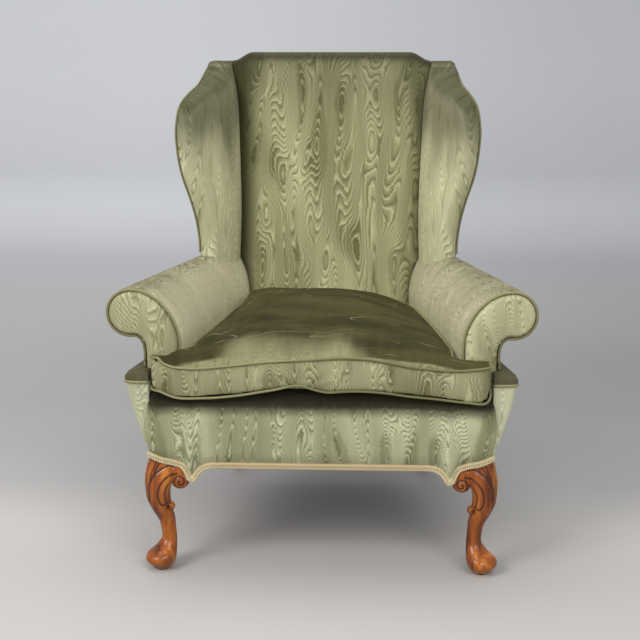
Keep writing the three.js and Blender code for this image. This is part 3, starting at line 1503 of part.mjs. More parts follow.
const sidePieces = [
  ["front_leg", frontLeg(), walnut],
  ["front_knee_block", frontKneeBlock(), walnut],
  ["side_knee_block", sideKneeBlock(), walnut],
  ["back_leg", backLeg(), walnut],
  ["side_rail", sideRail(), beech],
  ["corner_block", cornerBlock(), beech],
  ["arm_post", armPost(), beech],
  ["arm_board", armBoard(), beech],
  ["arm_stay_rail", armStayRail(), beech],
  ["wing_post", wingPost(), beech],
  ["wing_rail", wingRail(), beech],
  ["arm_pad", armPad(), cover],
  ["arm_facing", armFacing(), cover],
  ["facing_welt", facingWelt(), trimCover],
  ["outside_arm", outsideArm(), cover],
  ["side_border", sideBorder(), cover],
  ["ledge_welt", ledgeWelt(), trimCover],
  ["wing_pad", wingPad(), cover],
  ["outside_wing", outsideWing(), cover],
  ["wing_welt", wingWelt(), trimCover],
];
for (const [side, sign] of [["right", 1], ["left", -1]]) {
  const group = new THREE.Group();
  group.scale.x = sign;
  for (const [name, geometry, finish] of sidePieces) add(group, `${side}_${name}`, geometry, finish);
  chair.add(group);
}

// The middle of the chair's box goes over the origin
const box = new THREE.Box3().setFromObject(chair);
chair.position.y = -(box.min.y + box.max.y) * half;

export default chair;
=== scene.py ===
# %% [markdown]
# # A wing chair in moire velvet
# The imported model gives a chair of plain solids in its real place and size. This lesson dresses it:
# every upholstered form is rebuilt from the same shape rules with many more points, the front legs
# are carved, and every surface gets a finish made of shader nodes. Lengths are in millimetres from
# the chair's middle plane, as the chair was measured, and become metres at the end.

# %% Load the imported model
import math

import bmesh
import bpy
import numpy as np
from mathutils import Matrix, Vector


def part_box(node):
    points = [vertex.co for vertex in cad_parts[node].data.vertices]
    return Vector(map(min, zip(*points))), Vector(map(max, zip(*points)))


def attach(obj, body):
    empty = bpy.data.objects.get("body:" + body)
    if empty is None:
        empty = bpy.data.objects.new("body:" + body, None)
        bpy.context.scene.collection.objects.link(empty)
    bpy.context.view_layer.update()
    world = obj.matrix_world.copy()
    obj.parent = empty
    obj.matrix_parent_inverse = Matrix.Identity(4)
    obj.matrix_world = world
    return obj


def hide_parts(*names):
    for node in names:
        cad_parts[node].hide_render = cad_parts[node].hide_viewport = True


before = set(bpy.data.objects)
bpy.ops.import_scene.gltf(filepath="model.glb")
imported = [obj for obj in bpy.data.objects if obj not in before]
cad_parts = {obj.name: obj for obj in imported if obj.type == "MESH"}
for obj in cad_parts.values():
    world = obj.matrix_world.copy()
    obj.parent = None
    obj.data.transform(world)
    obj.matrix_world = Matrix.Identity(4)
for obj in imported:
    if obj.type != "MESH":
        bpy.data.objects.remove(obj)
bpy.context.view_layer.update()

# %% [markdown]
# ## Units and curves
# Soft forms are easiest to describe with a few measured places and a smooth curve through them. A
# table of places and heights becomes a function here, and a chain of corners becomes a smooth line.

# %% Millimetres to metres
MM = 0.001
FRONT = -350.0  # face of the front rail from the chair's middle
SHIFT = np.array([0.0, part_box("front_rail")[0].y - FRONT * MM, 0.0])
RIGHT_ANGLE = math.pi / 2
print("the model's frame lies", round(SHIFT[1] / MM, 2), "mm from the chair's middle")


def metres(points):
    return np.asarray(points, float) * MM + SHIFT


def millimetres(points):
    return (points - SHIFT) / MM


def lerp(a, b, t):
    return a + (b - a) * t


def smooth(x, low, high):
    t = np.clip((x - low) / (high - low), 0.0, 1.0)
    return t * t * (3.0 - 2.0 * t)


def unit(vectors):
    return vectors / np.maximum(np.linalg.norm(vectors, axis=-1, keepdims=True), 1e-9)


def lengths(line):
    """Distances between the neighbours on a line."""
    return np.linalg.norm(np.diff(line, axis=0), axis=1)


# %% A smooth function through a table of places
def table(places, heights):
    xs, ys = np.asarray(places, float), np.asarray(heights, float)
    slopes = np.gradient(ys, xs)

    def at(x):
        x = np.clip(x, xs[0], xs[-1])
        i = np.clip(np.searchsorted(xs, x) - 1, 0, len(xs) - 2)
        span = xs[i + 1] - xs[i]
        t = (x - xs[i]) / span
        return (
            (2 * t**3 - 3 * t**2 + 1) * ys[i]
            + (t**3 - 2 * t**2 + t) * span * slopes[i]
            + (3 * t**2 - 2 * t**3) * ys[i + 1]
            + (t**3 - t**2) * span * slopes[i + 1]
        )

    return at


def smooth_line(corners, count, closed=False):
    """An even line of count points, smooth through its corners."""
    corners = np.asarray(corners, float)
    corners = corners[np.concatenate([[True], lengths(corners) > 0.01])]
    if closed:
        corners = np.vstack([corners, corners[:1]])
    knots = run = np.concatenate([[0], np.cumsum(lengths(corners) ** 0.5)])
    if closed:
        corners = np.vstack([corners[-4:-1], corners, corners[1:4]])
        steps = np.diff(run)
        before = run[0] - np.cumsum(steps[-3:][::-1])[::-1]
        knots = np.concatenate([before, run, run[-1] + np.cumsum(steps[:3])])
    fine = np.linspace(run[0], run[-1], 12 * count)
    dense = np.stack([table(knots, axis)(fine) for axis in corners.T], axis=1)
    length = np.concatenate([[0], np.cumsum(lengths(dense))])
    wanted = np.linspace(0, length[-1], count + (1 if closed else 0))
    line = np.stack([np.interp(wanted, length, axis) for axis in dense.T], axis=1)
    return line[:-1] if closed else line


def arc(points, axis):
    """Distance run along one direction of a grid of points."""
    step = np.linalg.norm(np.diff(points, axis=axis), axis=-1)
    start = np.zeros_like(np.take(step, [0], axis=axis))
    return np.concatenate([start, np.cumsum(step, axis=axis)], axis=axis)


def turned(steps):
    """Plane directions turned a quarter to the right."""
    return np.stack([steps[..., 1], -steps[..., 0]], axis=-1)


def inward(line, depth):
    """A flat line, or a row of them, moved to its right by a depth."""
    return line + turned(unit(np.gradient(line, axis=-2))) * depth


def at_depth(section, y):
    """Points of a section, drawn across and up, set at their depth in the chair."""
    y = np.broadcast_to(y, section.shape[:-1])
    return np.stack([section[..., 0], y, section[..., 1]], axis=-1)


# %% [markdown]
# ## Meshes
# A padded panel is a closed skin: a grid of points for the cover that shows and a second one for
# the side that lies against the frame, joined round their rims. Its UV map holds real distances on
# the cloth, across the width and along the warp, so the weave keeps its size everywhere.

# %% Pieces, and how they are dressed
def linked(name, data):
    made = bpy.data.objects.new(name, data)
    bpy.context.scene.collection.objects.link(made)
    return made


def lay_cloth(mesh, cloth):
    """Give each point its place on the cloth, in millimetres, as a UV map."""
    corners = np.zeros(len(mesh.loops), dtype=np.int32)
    mesh.loops.foreach_get("vertex_index", corners)
    layer = mesh.uv_layers.new(name="cloth")
    layer.data.foreach_set("uv", np.asarray(cloth, float)[corners].ravel() * MM)


def volume(points, faces):
    total = 0.0
    for face in faces:
        a = points[face[0]]
        for i in range(1, len(face) - 1):
            total += np.dot(a, np.cross(points[face[i]], points[face[i + 1]]))
    return total


def piece(name, points, faces, finish, cloth=None):
    """A closed mesh whose faces point outwards."""
    points = np.asarray(points, float)
    if volume(points, faces) < 0:
        faces = [face[::-1] for face in faces]
    mesh = bpy.data.meshes.new(name)
    mesh.from_pydata(metres(points).tolist(), [], [tuple(int(i) for i in face) for face in faces])
    if cloth is not None:
        lay_cloth(mesh, cloth)
    mesh.materials.append(finish)
    mesh.shade_smooth()
    return linked(name, mesh)


def dress(shape, node, body="frame"):
    """Ride a finished piece on its body, and hide the node that it stands for, if one is named."""
    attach(shape, body)
    if node:
        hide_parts(node)


# %% Closed skins
def grid_faces(rows, columns, start=0, flip=False, around=False):
    faces = []
    for i in range(rows - 1):
        for j in range(columns - (0 if around else 1)):
            k = (j + 1) % columns
            here, above = start + i * columns, start + (i + 1) * columns
            quad = (here + j, here + k, above + k, above + j)
            faces.append(quad[::-1] if flip else quad)
    return faces


def end_faces(count, sides, flip=False):
    """The two flat ends of a stack of rings."""
    first, last = tuple(range(sides)), tuple(count * sides - 1 - j for j in range(sides))
    return [first[::-1], last[::-1]] if flip else [first, last]


def rim_of(rows, columns):
    """Numbers of the points round the edge of a grid, in order."""
    rim = list(range(columns)) + [i * columns + columns - 1 for i in range(1, rows)]
    rim += [(rows - 1) * columns + j for j in range(columns - 2, -1, -1)]
    return rim + [i * columns for i in range(rows - 2, 0, -1)]


def skin(name, front, back, finish, cloth):
    rows, columns = front.shape[:2]
    layer = rows * columns
    faces = grid_faces(rows, columns) + grid_faces(rows, columns, layer, flip=True)
    rim = rim_of(rows, columns)
    faces += [(b, a, layer + a, layer + b) for a, b in zip(rim, rim[1:] + rim[:1])]
    points = np.vstack([front.reshape(-1, 3), back.reshape(-1, 3)])
    return piece(name, points, faces, finish, np.vstack([cloth.reshape(-1, 2)] * 2))


def mirrored(points, sign):
    return np.asarray(points, float) * np.array([sign, 1.0, 1.0])


def on_cloth(across, along):
    return np.stack([across, along], axis=-1)


SIDES = (("right", 1.0), ("left", -1.0))


def paired_skins(name, front, back, finish, cloth, moves, node):
    """A skin on each side. The moves say how far apart their covers are cut from the cloth."""
    for (side, sign), move in zip(SIDES, moves):
        faces = mirrored(front, sign), mirrored(back, sign)
        shape = skin(f"{side}_{name}", *faces, finish, cloth + move)
        dress(shape, f"{side}_{node}")


# %% [markdown]
# ## Shader arithmetic
# A finish is a small calculation on every point of a surface. Wrapping a socket in a class lets the
# calculation be written as ordinary Python sums, each of which adds its Math node.

# %% Sockets that can be added and multiplied
class Signal:
    def __init__(self, finish, socket):
        self.finish, self.socket = finish, socket

    def math(self, operation, *others):
        sockets = dict(enumerate((self, *others)))
        return self.finish.node("ShaderNodeMath", {"operation": operation}, sockets)

    def __add__(self, other):
        return self.math("ADD", other)

    __radd__ = __add__

    def __sub__(self, other):
        return self.math("SUBTRACT", other)

    def __rsub__(self, other):
        return self.finish.node("ShaderNodeMath", {"operation": "SUBTRACT"}, {0: other, 1: self})

    def __mul__(self, other):
        return self.math("MULTIPLY", other)

    __rmul__ = __mul__

    def __truediv__(self, other):
        return self.math("DIVIDE", other)

    def __rtruediv__(self, other):
        return self.finish.node("ShaderNodeMath", {"operation": "DIVIDE"}, {0: other, 1: self})

    def __pow__(self, other):
        return self.math("POWER", other)

    def wave(self):
        """Ripples from nought to one."""
        return self.math("SINE") * 0.5 + 0.5

    def between(self, low, high):
        """Nought at low and one at high, with a soft passage."""
        settings = {"interpolation_type": "SMOOTHSTEP"}
        return self.finish.node("ShaderNodeMapRange", settings, {0: self, 1: low, 2: high})


# %% A finish, and its nodes by their use
class Finish:
    def __init__(self, name):
        self.material = bpy.data.materials.new(name)
        self.material.use_nodes = True
        self.tree = self.material.node_tree
        self.tree.nodes.clear()

    def node(self, kind, settings=None, sockets=None, output=0):
        made = self.tree.nodes.new(kind)
        for key, value in (settings or {}).items():
            if key == "stops":
                while len(made.color_ramp.elements) < len(value):
                    made.color_ramp.elements.new(0.5)
                for element, (place, shade) in zip(made.color_ramp.elements, value):
                    element.position, element.color = place, colour(*shade)
            else:
                setattr(made, key, value)
        for key, value in (sockets or {}).items():
            if isinstance(value, Signal):
                self.tree.links.new(value.socket, made.inputs[key])
            else:
                made.inputs[key].default_value = value
        return Signal(self, made.outputs[output])

    def cloth(self):
        return self.node("ShaderNodeUVMap", {"uv_map": "cloth"})

    def place(self):
        return self.node("ShaderNodeTexCoord", None, None, "Object")

    def scaled(self, vector, scale, offset=(0.0, 0.0, 0.0)):
        sockets = {0: vector, 1: scale, 2: offset}
        return self.node("ShaderNodeVectorMath", {"operation": "MULTIPLY_ADD"}, sockets)

    def parts(self, vector):
        split = self.tree.nodes.new("ShaderNodeSeparateXYZ")
        self.tree.links.new(vector.socket, split.inputs[0])
        return [Signal(self, out) for out in split.outputs]

    def vector(self, x, y, z=0.0):
        return self.node("ShaderNodeCombineXYZ", None, {0: x, 1: y, 2: z})

    def noise(self, vector, detail=2.0, rough=0.5):
        sockets = {"Vector": vector, "Scale": 1.0, "Detail": detail, "Roughness": rough}
        return self.node("ShaderNodeTexNoise", {"noise_dimensions": "3D"}, sockets)

    def fine_noise(self, scale, detail):
        """Noise of one scale in every direction of the room."""
        return self.noise(self.scaled(self.place(), (scale, scale, scale)), detail)

    def mix(self, first, second, share):
        settings = {"data_type": "RGBA", "blend_type": "MIX"}
        return self.node("ShaderNodeMix", settings, {0: share, 6: first, 7: second}, 2)

    def bump(self, height, strength, distance):
        sockets = {"Height": height, "Strength": strength, "Distance": distance}
        return self.node("ShaderNodeBump", None, sockets)

    def ramp(self, signal, stops):
        return self.node("ShaderNodeValToRGB", {"stops": stops}, {0: signal})

    def surface(self, sockets):
        shader = self.node("ShaderNodeBsdfPrincipled", None, sockets)
        out = self.tree.nodes.new("ShaderNodeOutputMaterial")
        self.tree.links.new(shader.socket, out.inputs["Surface"])
        return self.material


def colour(red, green, blue):
    """A colour as it is seen on a screen, 0 to 255, made linear for the shader."""
    linear = []
    for c in (red / 255, green / 255, blue / 255):
        linear.append(c / 12.92 if c <= 0.04045 else ((c + 0.055) / 1.055) ** 2.4)
    return (*linear, 1.0)


# %% [markdown]
# ## The moire velvet
# Moire is pressed into a ribbed cloth, and its rings and wavy lines are the places where the ribs
# of two layers fell alike. They are contour lines: a slow, tall noise is the height of a landscape,
# and the sine of that height draws its contours. A fine jitter across the cloth gives the lines
# their saw teeth. Pile that lies towards the eye looks dark and pile that curves away looks pale,
# so painted light and shade that follow the way a surface faces are mixed into the colour, and a
# sheen is added.

# %% Velvet with its watered figure
PRESSED = (0.02, 0.022, 0.01, 1.0)  # the shade of pile that was pressed flat


def velvet(name, deep, pale, crest, offset=(0.0, 0.0), close=1.0, figure=1.0, tone_and_painted_light=None, sheen=0.12):
    """Close is how many rings there are, figure their strength, and lie mixes painted light and
    shade, with other tone, into the colour.
    """
    deep, pale, crest = colour(*deep), colour(*pale), colour(*crest)
    finish = Finish(f"velvet_{name}")
    across, along, _ = finish.parts(finish.scaled(finish.cloth(), (1, 1, 1), (*offset, 0)))
    teeth = finish.noise(finish.vector(across * 40, along * 360), 1.0, 0.7) - 0.5
    waves = finish.noise(finish.vector(across * 26, along * 90, 2.0), 1.0) - 0.5
    drift = finish.noise(finish.vector(across * 5, along * 3, 3.1), 1.0) - 0.5
    u = across + 2.0 + teeth * 0.014 + waves * 0.006 + drift * 0.04
    hills = finish.noise(finish.vector(u * 22, along * 4.8), 0.5, 0.4)
    rings = (hills * 23 + u * 78) * (close * math.tau)
    core = (hills.between(0.62, 0.70) + hills.between(0.38, 0.30)).math("MINIMUM", 1.0)
    light = rings.wave() ** 3.0 * figure
    dark = (rings - 1.6).wave() ** 3.4 * figure
    broad = finish.noise(finish.vector(across * 11, along * 2.0, 8.3), 2.0)
    streak = finish.noise(finish.vector(across * 80, along * 5, 5.0), 2.0)
    tone = broad.between(0.32, 0.68) * 0.62 + streak * 0.42 - core * 0.45 * figure
    ground = finish.mix(deep, pale, tone)
    ground = finish.mix(ground, crest, light * 0.5)
    ground = finish.mix(ground, finish.mix(deep, PRESSED, 0.42), dark * 0.66)
    pile = finish.noise(finish.scaled(finish.cloth(), (1500, 1500, 1)), 2.0)
    ground = finish.mix(ground, deep, (pile - 0.42) * 0.5)
    # Painted light and shade by the way the surface faces, and other tone, are mixed into the colour
    # here.
    if tone_and_painted_light is not None:
        ground = tone_and_painted_light(finish, ground)
    height = light * 0.6 - dark * 0.7 + pile * 0.3
    return finish.surface({
        "Base Color": ground, "Roughness": 0.64 - light * 0.14 + dark * 0.1,
        "Normal": finish.bump(height, 0.5, 0.0007),
        "Sheen Weight": sheen, "Sheen Roughness": 0.4, "Sheen Tint": colour(206, 200, 150),
        "Specular IOR Level": 0.12,
    })


# %% Which way a surface faces
def normal(finish):
    return finish.parts(finish.node("ShaderNodeNewGeometry", None, None, "Normal"))


def facing_up(finish, low, high):
    """How far a surface lies towards the sky."""
    return normal(finish)[2].between(low, high)


def facing_in(finish):
    """One where a paired piece faces the middle of the seat, nought where it faces away."""
    x = finish.parts(finish.place())[0]
    return (normal(finish)[0] * x.math("SIGN")).between(-0.1, -0.9)


# %% Painted light and shade by the way a surface faces, with darker tops and other tone
# UMBER darkens the tops of the back and wings, and on the arms' tops it is painted shade.
UMBER = colour(12, 8, 0)  # mixed in where the whole figure darkens


def back_tone_and_painted_shade(finish, ground):
    """The back darkens towards its top, gets a painted shadow of the wings beside them, deeper on the
    left, and painted shade over the roll where it faces up.
    """
    x, _, z = finish.parts(finish.place())
    ground = finish.mix(ground, UMBER, z.between(0.86, 1.04) * 0.42)
    # Painted shadow of the wings on the back's edges, deeper on the left.
    beside = x.math("ABSOLUTE").between(0.15, 0.215) * 0.56 + (0.0 - x).between(0.15, 0.21) * 0.4
    ground = finish.mix(ground, colour(52, 52, 28), beside)
    # Painted shade where the back faces up, over the crest roll.
    return finish.mix(ground, colour(36, 33, 12), facing_up(finish, 0.05, 0.8) * 0.88)


def wing_tone_and_painted_light(finish, ground):
    """The wings darken towards their shoulders, with painted light on their inner faces and painted
    shade where they face up.
    """
    x, y, z = finish.parts(finish.place())
    drift = finish.noise(finish.vector(x * 9, y * 9, z * 4), 2.0) - 0.5
    # Painted light on the wing's inner faces.
    ground = finish.mix(ground, colour(226, 222, 184), facing_in(finish) * 0.34)
    ground = finish.mix(ground, UMBER, (z + drift * 0.25).between(0.77, 0.94) * 0.66)
    # Painted shade where the wing faces up.
    return finish.mix(ground, colour(48, 46, 22), facing_up(finish, 0.15, 0.75) * 0.66)


def arm_painted_light(finish, ground):
    """Painted light on the arms' inner faces, more on the left one, and painted shade on their tops.
    """
    x = finish.parts(finish.place())[0]
    # Painted light on the arm's inner faces.
    painted_lit_inside = facing_in(finish) * (0.4 + x.between(0.1, -0.1) * 0.22)
    ground = finish.mix(ground, colour(224, 217, 182), painted_lit_inside)
    # Painted shade on the arm's top.
    return finish.mix(ground, UMBER, facing_up(finish, 0.0, 0.85) * 0.28)


def shaded_gap(finish, ground):
    """Painted shade on the front border's top, and a painted shadow under the cushion."""
    z = finish.parts(finish.place())[2]
    # Painted shade on the border's top, and below it a painted shadow under the cushion.
    ground = finish.mix(ground, colour(56, 51, 32), facing_up(finish, 0.02, 0.5) * 0.92)
    return finish.mix(ground, colour(22, 20, 9), z.between(0.342, 0.384) * 0.88)


def side_tone_and_painted_shade(finish, ground):
    """The side borders are a little paler, with painted shade on the ledge above their welts and
    wherever they face up.
    """
    z = finish.parts(finish.place())[2]
    # Painted shade on the ledge above the welt and where the border faces up.
    share = facing_up(finish, 0.05, 0.45).math("MAXIMUM", z.between(0.411, 0.416))
    ground = finish.mix(ground, colour(236, 236, 214), 0.16)
    return finish.mix(ground, colour(66, 59, 40), share * 0.9)


def cushion_top_and_painted_light(finish, ground):
    """Painted light on the cushion's top where it faces up: painted shade behind, on pile sat flat,
    with pale creases, and a painted sheen band in front, streaked by brushing.
    """
    x, y, _ = finish.parts(finish.place())
    streaks = finish.noise(finish.vector(x * 4, y * 15, 1.7), 3.0, 0.55)
    patches = finish.noise(finish.vector(x * 7, y * 9, 4.4), 2.0)
    pulled = finish.noise(finish.vector(x * 34, y * 7, 7.1), 2.0, 0.6)
    brushing = patches * 0.4 + streaks * 0.3 + pulled.between(0.3, 0.7) * 0.4
    brushed_sheen = finish.mix(colour(72, 69, 34), colour(164, 160, 120), brushing)
    # Painted sheen band, streaked by brushing, where the top faces up.
    ground = finish.mix(ground, brushed_sheen, facing_up(finish, 0.15, 0.5) * 0.72)
    dark = finish.mix(colour(40, 38, 17), colour(68, 64, 34), streaks.between(0.3, 0.72))
    bend = finish.noise(finish.vector(x * 3.2, y * 17, 2.6), 1.0, 0.5)
    here = finish.noise(finish.vector(x * 9, y * 20, 6.0), 1.0).between(0.5, 0.62)
    crease = (bend * 9).math("FRACT").between(0.06, 0.0) * here
    dark = finish.mix(dark, colour(158, 154, 122), crease * 0.65)
    sides = x.between(0.02, 0.2) * 0.15 + (0.0 - x).between(0.15, 0.3) * 0.18
    edge = y + sides + (patches - 0.5) * 0.11 + (pulled - 0.5) * 0.05
    # Painted shade on the top behind the front band.
    behind = edge.between(-0.39, -0.305) * 0.88 + 0.12
    return finish.mix(ground, dark, facing_up(finish, 0.3, 0.7) * behind)


# %% One velvet for each part of the cover
back_cloth = velvet("back", (102, 102, 62), (188, 186, 142), (210, 208, 166), tone_and_painted_light=back_tone_and_painted_shade)
wing_cloth = velvet("wing", (128, 128, 90), (212, 210, 170), (226, 224, 190),
                    offset=(0.31, 0.2), tone_and_painted_light=wing_tone_and_painted_light)
arm_cloth = velvet("arm", (106, 102, 72), (176, 171, 138), (206, 201, 170),
                   offset=(1.2, 0.4), close=1.3, figure=1.4, tone_and_painted_light=arm_painted_light)
facing_cloth = velvet("facing", (122, 121, 84), (196, 193, 157), (206, 204, 170),
                      offset=(2.2, 0.9), close=1.7, figure=0.95)
border_shades = (112, 114, 78), (200, 200, 164), (220, 220, 188)
border_cloth = velvet("border", *border_shades, offset=(0.0, 1.7),
                      close=1.7, figure=1.05, tone_and_painted_light=shaded_gap)
side_cloth = velvet("side", *border_shades, offset=(4.1, 0.3),
                    close=1.7, figure=1.05, tone_and_painted_light=side_tone_and_painted_shade)
outside_cloth = velvet("outside", (104, 104, 66), (168, 166, 126), (198, 196, 160),
                       offset=(3.3, 0.1))
cushion_cloth = velvet("cushion", (96, 94, 60), (174, 171, 134), (200, 198, 164),
                       offset=(5.0, 0.7), close=1.6, tone_and_painted_light=cushion_top_and_painted_light, sheen=0.04)
welt_cloth = velvet("welt", (92, 90, 58), (142, 139, 102), (160, 157, 122), figure=0.0)
print("velvets:", len([m for m in bpy.data.materials if m.name.startswith("velvet")]))

# %% [markdown]
# ## Wood, braid, and the hidden stuffs
# The front legs are walnut under a clear varnish: a coat over a grain that runs up the leg. The
# carving leaves its depth on the mesh as an attribute, and the stain gathers where that is deep.

# %% Varnished walnut and plain beech
def wood(name, stops, scale, coat, rough, carved=False):
    finish = Finish(name)
    place = finish.place()
    warp = finish.noise(finish.scaled(place, (18, 18, 3)), 3.0, 0.55)
    x, y, z = finish.parts(place)
    rings = finish.vector(x * scale + warp * 2.5, y * scale + warp * 1.7, z * scale * 0.07)
    grain = finish.noise(rings, 4.0, 0.6)
    pores = finish.noise(finish.vector(x * 900, y * 900, z * 60), 1.0)
    shade = finish.ramp(grain * 0.75 + warp * 0.35 - pores * 0.08, stops)
    if carved:
        depth = finish.node("ShaderNodeAttribute", {"attribute_name": "carving"}, None, "Fac")
        shade = finish.mix(shade, colour(48, 22, 8), depth.between(0.1, 0.9) * 0.9)
    return finish.surface({
        "Base Color": shade, "Roughness": rough + grain * 0.12, "Coat Weight": coat,
        "Coat Roughness": 0.07, "Specular IOR Level": 0.15,
        "Normal": finish.bump(grain * 0.3 + pores * 0.25, 0.12, 0.0004),
    })


WALNUT = [(0.28, (42, 16, 4)), (0.43, (98, 45, 12)), (0.57, (152, 81, 25)), (0.74, (204, 130, 52))]
BEECH = [(0.25, (168, 124, 78)), (0.5, (196, 154, 104)), (0.8, (214, 178, 130))]
walnut = wood("walnut", WALNUT, 34, 0.6, 0.32)
carved_walnut = wood("carved_walnut", WALNUT, 34, 0.5, 0.4, carved=True)
beech = wood("beech", BEECH, 26, 0.0, 0.55)


# %% Woven stuffs, wire and thread
def woven(name, warp, weft, pitch):
    finish = Finish(name)
    x, y, _ = finish.parts(finish.place())
    over = (x * (math.tau / pitch)).wave() * (y * (math.tau / pitch)).wave()
    slub = finish.fine_noise(240, 3.0)
    shade = finish.mix(colour(*warp), colour(*weft), (over * 0.7 + slub * 0.5).between(0.35, 0.9))
    return finish.surface({"Base Color": shade, "Roughness": 0.9,
                           "Normal": finish.bump(over + slub, 0.4, pitch * 0.3)})


def steel(name):
    finish = Finish(name)
    spots = finish.fine_noise(90, 4.0)
    shade = finish.mix(colour(118, 116, 112), colour(158, 158, 158), spots)
    return finish.surface({"Base Color": shade, "Metallic": 1.0, "Roughness": 0.32 + spots * 0.2})


def thread(name, first, second):
    finish = Finish(name)
    x, y, z = finish.parts(finish.place())
    twist = ((x + y + z) * 5200).wave()
    fuzz = finish.fine_noise(1300, 2.0)
    shade = finish.mix(colour(*first), colour(*second), twist * 0.6 + fuzz * 0.4)
    return finish.surface({"Base Color": shade, "Roughness": 0.72, "Sheen Weight": 0.3,
                           "Normal": finish.bump(twist + fuzz, 0.4, 0.0003)})


jute = woven("jute", (120, 92, 56), (184, 156, 110), 0.0035)
hessian = woven("hessian", (128, 104, 68), (196, 172, 128), 0.0028)
calico = woven("calico", (196, 188, 168), (226, 220, 204), 0.0009)
lining = woven("black_lining", (22, 20, 19), (46, 43, 40), 0.0012)
spring_wire = steel("spring_wire")
braid_ground = thread("braid_ground", (138, 104, 78), (176, 138, 104))
braid_thread = thread("braid_thread", (196, 184, 140), (224, 216, 172))
sewing_thread = thread("sewing_thread", (96, 94, 60), (140, 136, 96))
print("finishes so far:", len(bpy.data.materials))

# %% Finishes for the nodes that stay as they are
carried = {
    "front_rail back_rail crest_rail back_stay_rail": beech,
    "seat_webbing back_webbing": jute,
    "seat_springs": spring_wire,
    "spring_hessian seat_stuffing": hessian,
    "deck_cover": calico,
}
paired = "side_rail corner_block arm_post arm_board arm_stay_rail wing_post wing_rail"
for side, _ in SIDES:
    carried[f"{side}_back_leg"] = walnut
    carried[" ".join(f"{side}_{name}" for name in paired.split())] = beech
for names, finish in carried.items():
    for name in names.split():
        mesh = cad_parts[name].data
        mesh.materials.clear()
        mesh.materials.append(finish)
print("finishes of carried nodes:", ", ".join(sorted({f.name for f in carried.values()})))

# %% Round cords for welts
def tube(line, radius, sides, aside=(0, 0, 1), closed=False):
    """A ring of points round each point of a line."""
    if closed:
        along = unit(np.roll(line, -1, axis=0) - np.roll(line, 1, axis=0))
    else:
        along = unit(np.gradient(line, axis=0))
    aside = np.broadcast_to(np.asarray(aside, float), line.shape)
    out = unit(aside - along * np.sum(aside * along, axis=1, keepdims=True))
    over = np.cross(along, out)
    angles = np.arange(sides)[:, None] * 2 * math.pi / sides
    ring = out[:, None] * np.cos(angles) + over[:, None] * np.sin(angles)
    return line[:, None] + ring * radius


def cord(name, line, radius, closed=False, aside=(0, 0, 1)):
    """A round cord with its ends closed, or joined into a ring."""
    line, sides = np.asarray(line, float), 12
    count, last = len(line), (len(line) - 1) * sides
    points = tube(line, radius, sides, aside, closed).reshape(-1, 3)
    faces = grid_faces(count, sides, around=True)
    run = np.concatenate([[0], np.cumsum(lengths(line))])
    around = np.broadcast_to(np.arange(sides) * 2 * math.pi / sides * radius, (count, sides))
    cloth = on_cloth(around.ravel(), np.repeat(run, sides))
    if closed:
        faces += [(last + j, last + (j + 1) % sides, (j + 1) % sides, j) for j in range(sides)]
    else:
        for end, start, flip in ((line[0], 0, True), (line[-1], last, False)):
            middle = len(points)
            points, cloth = np.vstack([points, end]), np.vstack([cloth, cloth[start]])
            for j in range(sides):
                a, b = start + j, start + (j + 1) % sides
                faces.append((b, a, middle) if flip else (a, b, middle))
    return piece(name, points, faces, welt_cloth, cloth)


def paired_welts(name, line, radius, node, aside=(0, 0, 1)):
    for side, sign in SIDES:
        welt = cord(f"{side}_{name}", mirrored(line, sign), radius, aside=aside)
        dress(welt, f"{side}_{node}")

# %% [markdown]
# ## Sizes that the upholstery follows
# These are the measured sizes of the frame and of its padding. Each form below is a rule on them.

# %% The chair's own sizes, millimetres
RAIL_UNDER, RAIL_TOP = 240.0, 308.0
FRONT_HALF, REAR_HALF, RAIL_RUN = 350.0, 250.0, 600.0  # a side rail's ends, and its run backwards
REAR = 250.0  # back face of the back rail
POST, STILE, STILE_TOP = 205.0, 45.0, 1014.0  # the back posts' front face, depth and top
DECK, LEDGE = 401.0, 408.0
ARM_TOP, SPRING_LINE = 601.0, 488.0
DROOP = 1.15  # how slowly the arm rises from its spring line
FACING = -318.0
GAP, BEFORE = 0.3, 5.3  # between neighbours, and before the back posts


def side_x(y):
    return lerp(FRONT_HALF, REAR_HALF, (y - FRONT) / RAIL_RUN)


def stem_x(y):
    return side_x(y) + 20.0


def stile_front(z):
    return POST + 0.2 * np.maximum(z - RAIL_TOP, 0.0)


def stile_back(z):
    return stile_front(z) + STILE


def stile_outer(z):
    return side_x(POST) + 38.0 * np.clip((z - 512.0) / (STILE_TOP - 512.0), 0.0, 1.0)


def pad_front(z):
    return 118.0 + 0.26 * np.maximum(z - 424.0, 0.0)


def arm_x(y):
    return 286.0 - 0.1955 * (y - FACING)


def scroll_r(y):
    return 51.0 - 0.018 * (y - FACING)


SCROLL_END = stile_front(ARM_TOP)


def scroll_x(y):
    return lerp(389.0, side_x(POST) - 25.0, (y - FACING) / (SCROLL_END - FACING))


def scroll_z(y):
    return ARM_TOP - scroll_r(y)


# %% [markdown]
# ## The arms
# An arm is a padded board: its cover rises inside the seat, rolls outwards over the top and ends
# under the scroll. The section is a rule of the depth, so the skin is swept along the arm with many
# sections. Its cloth runs round the roll, so the figure's long direction does too.

# %% The section of the arm
INSIDE, CURVE, ROUND = 14, 26, 40  # points up the inside, over the curve and round the roll


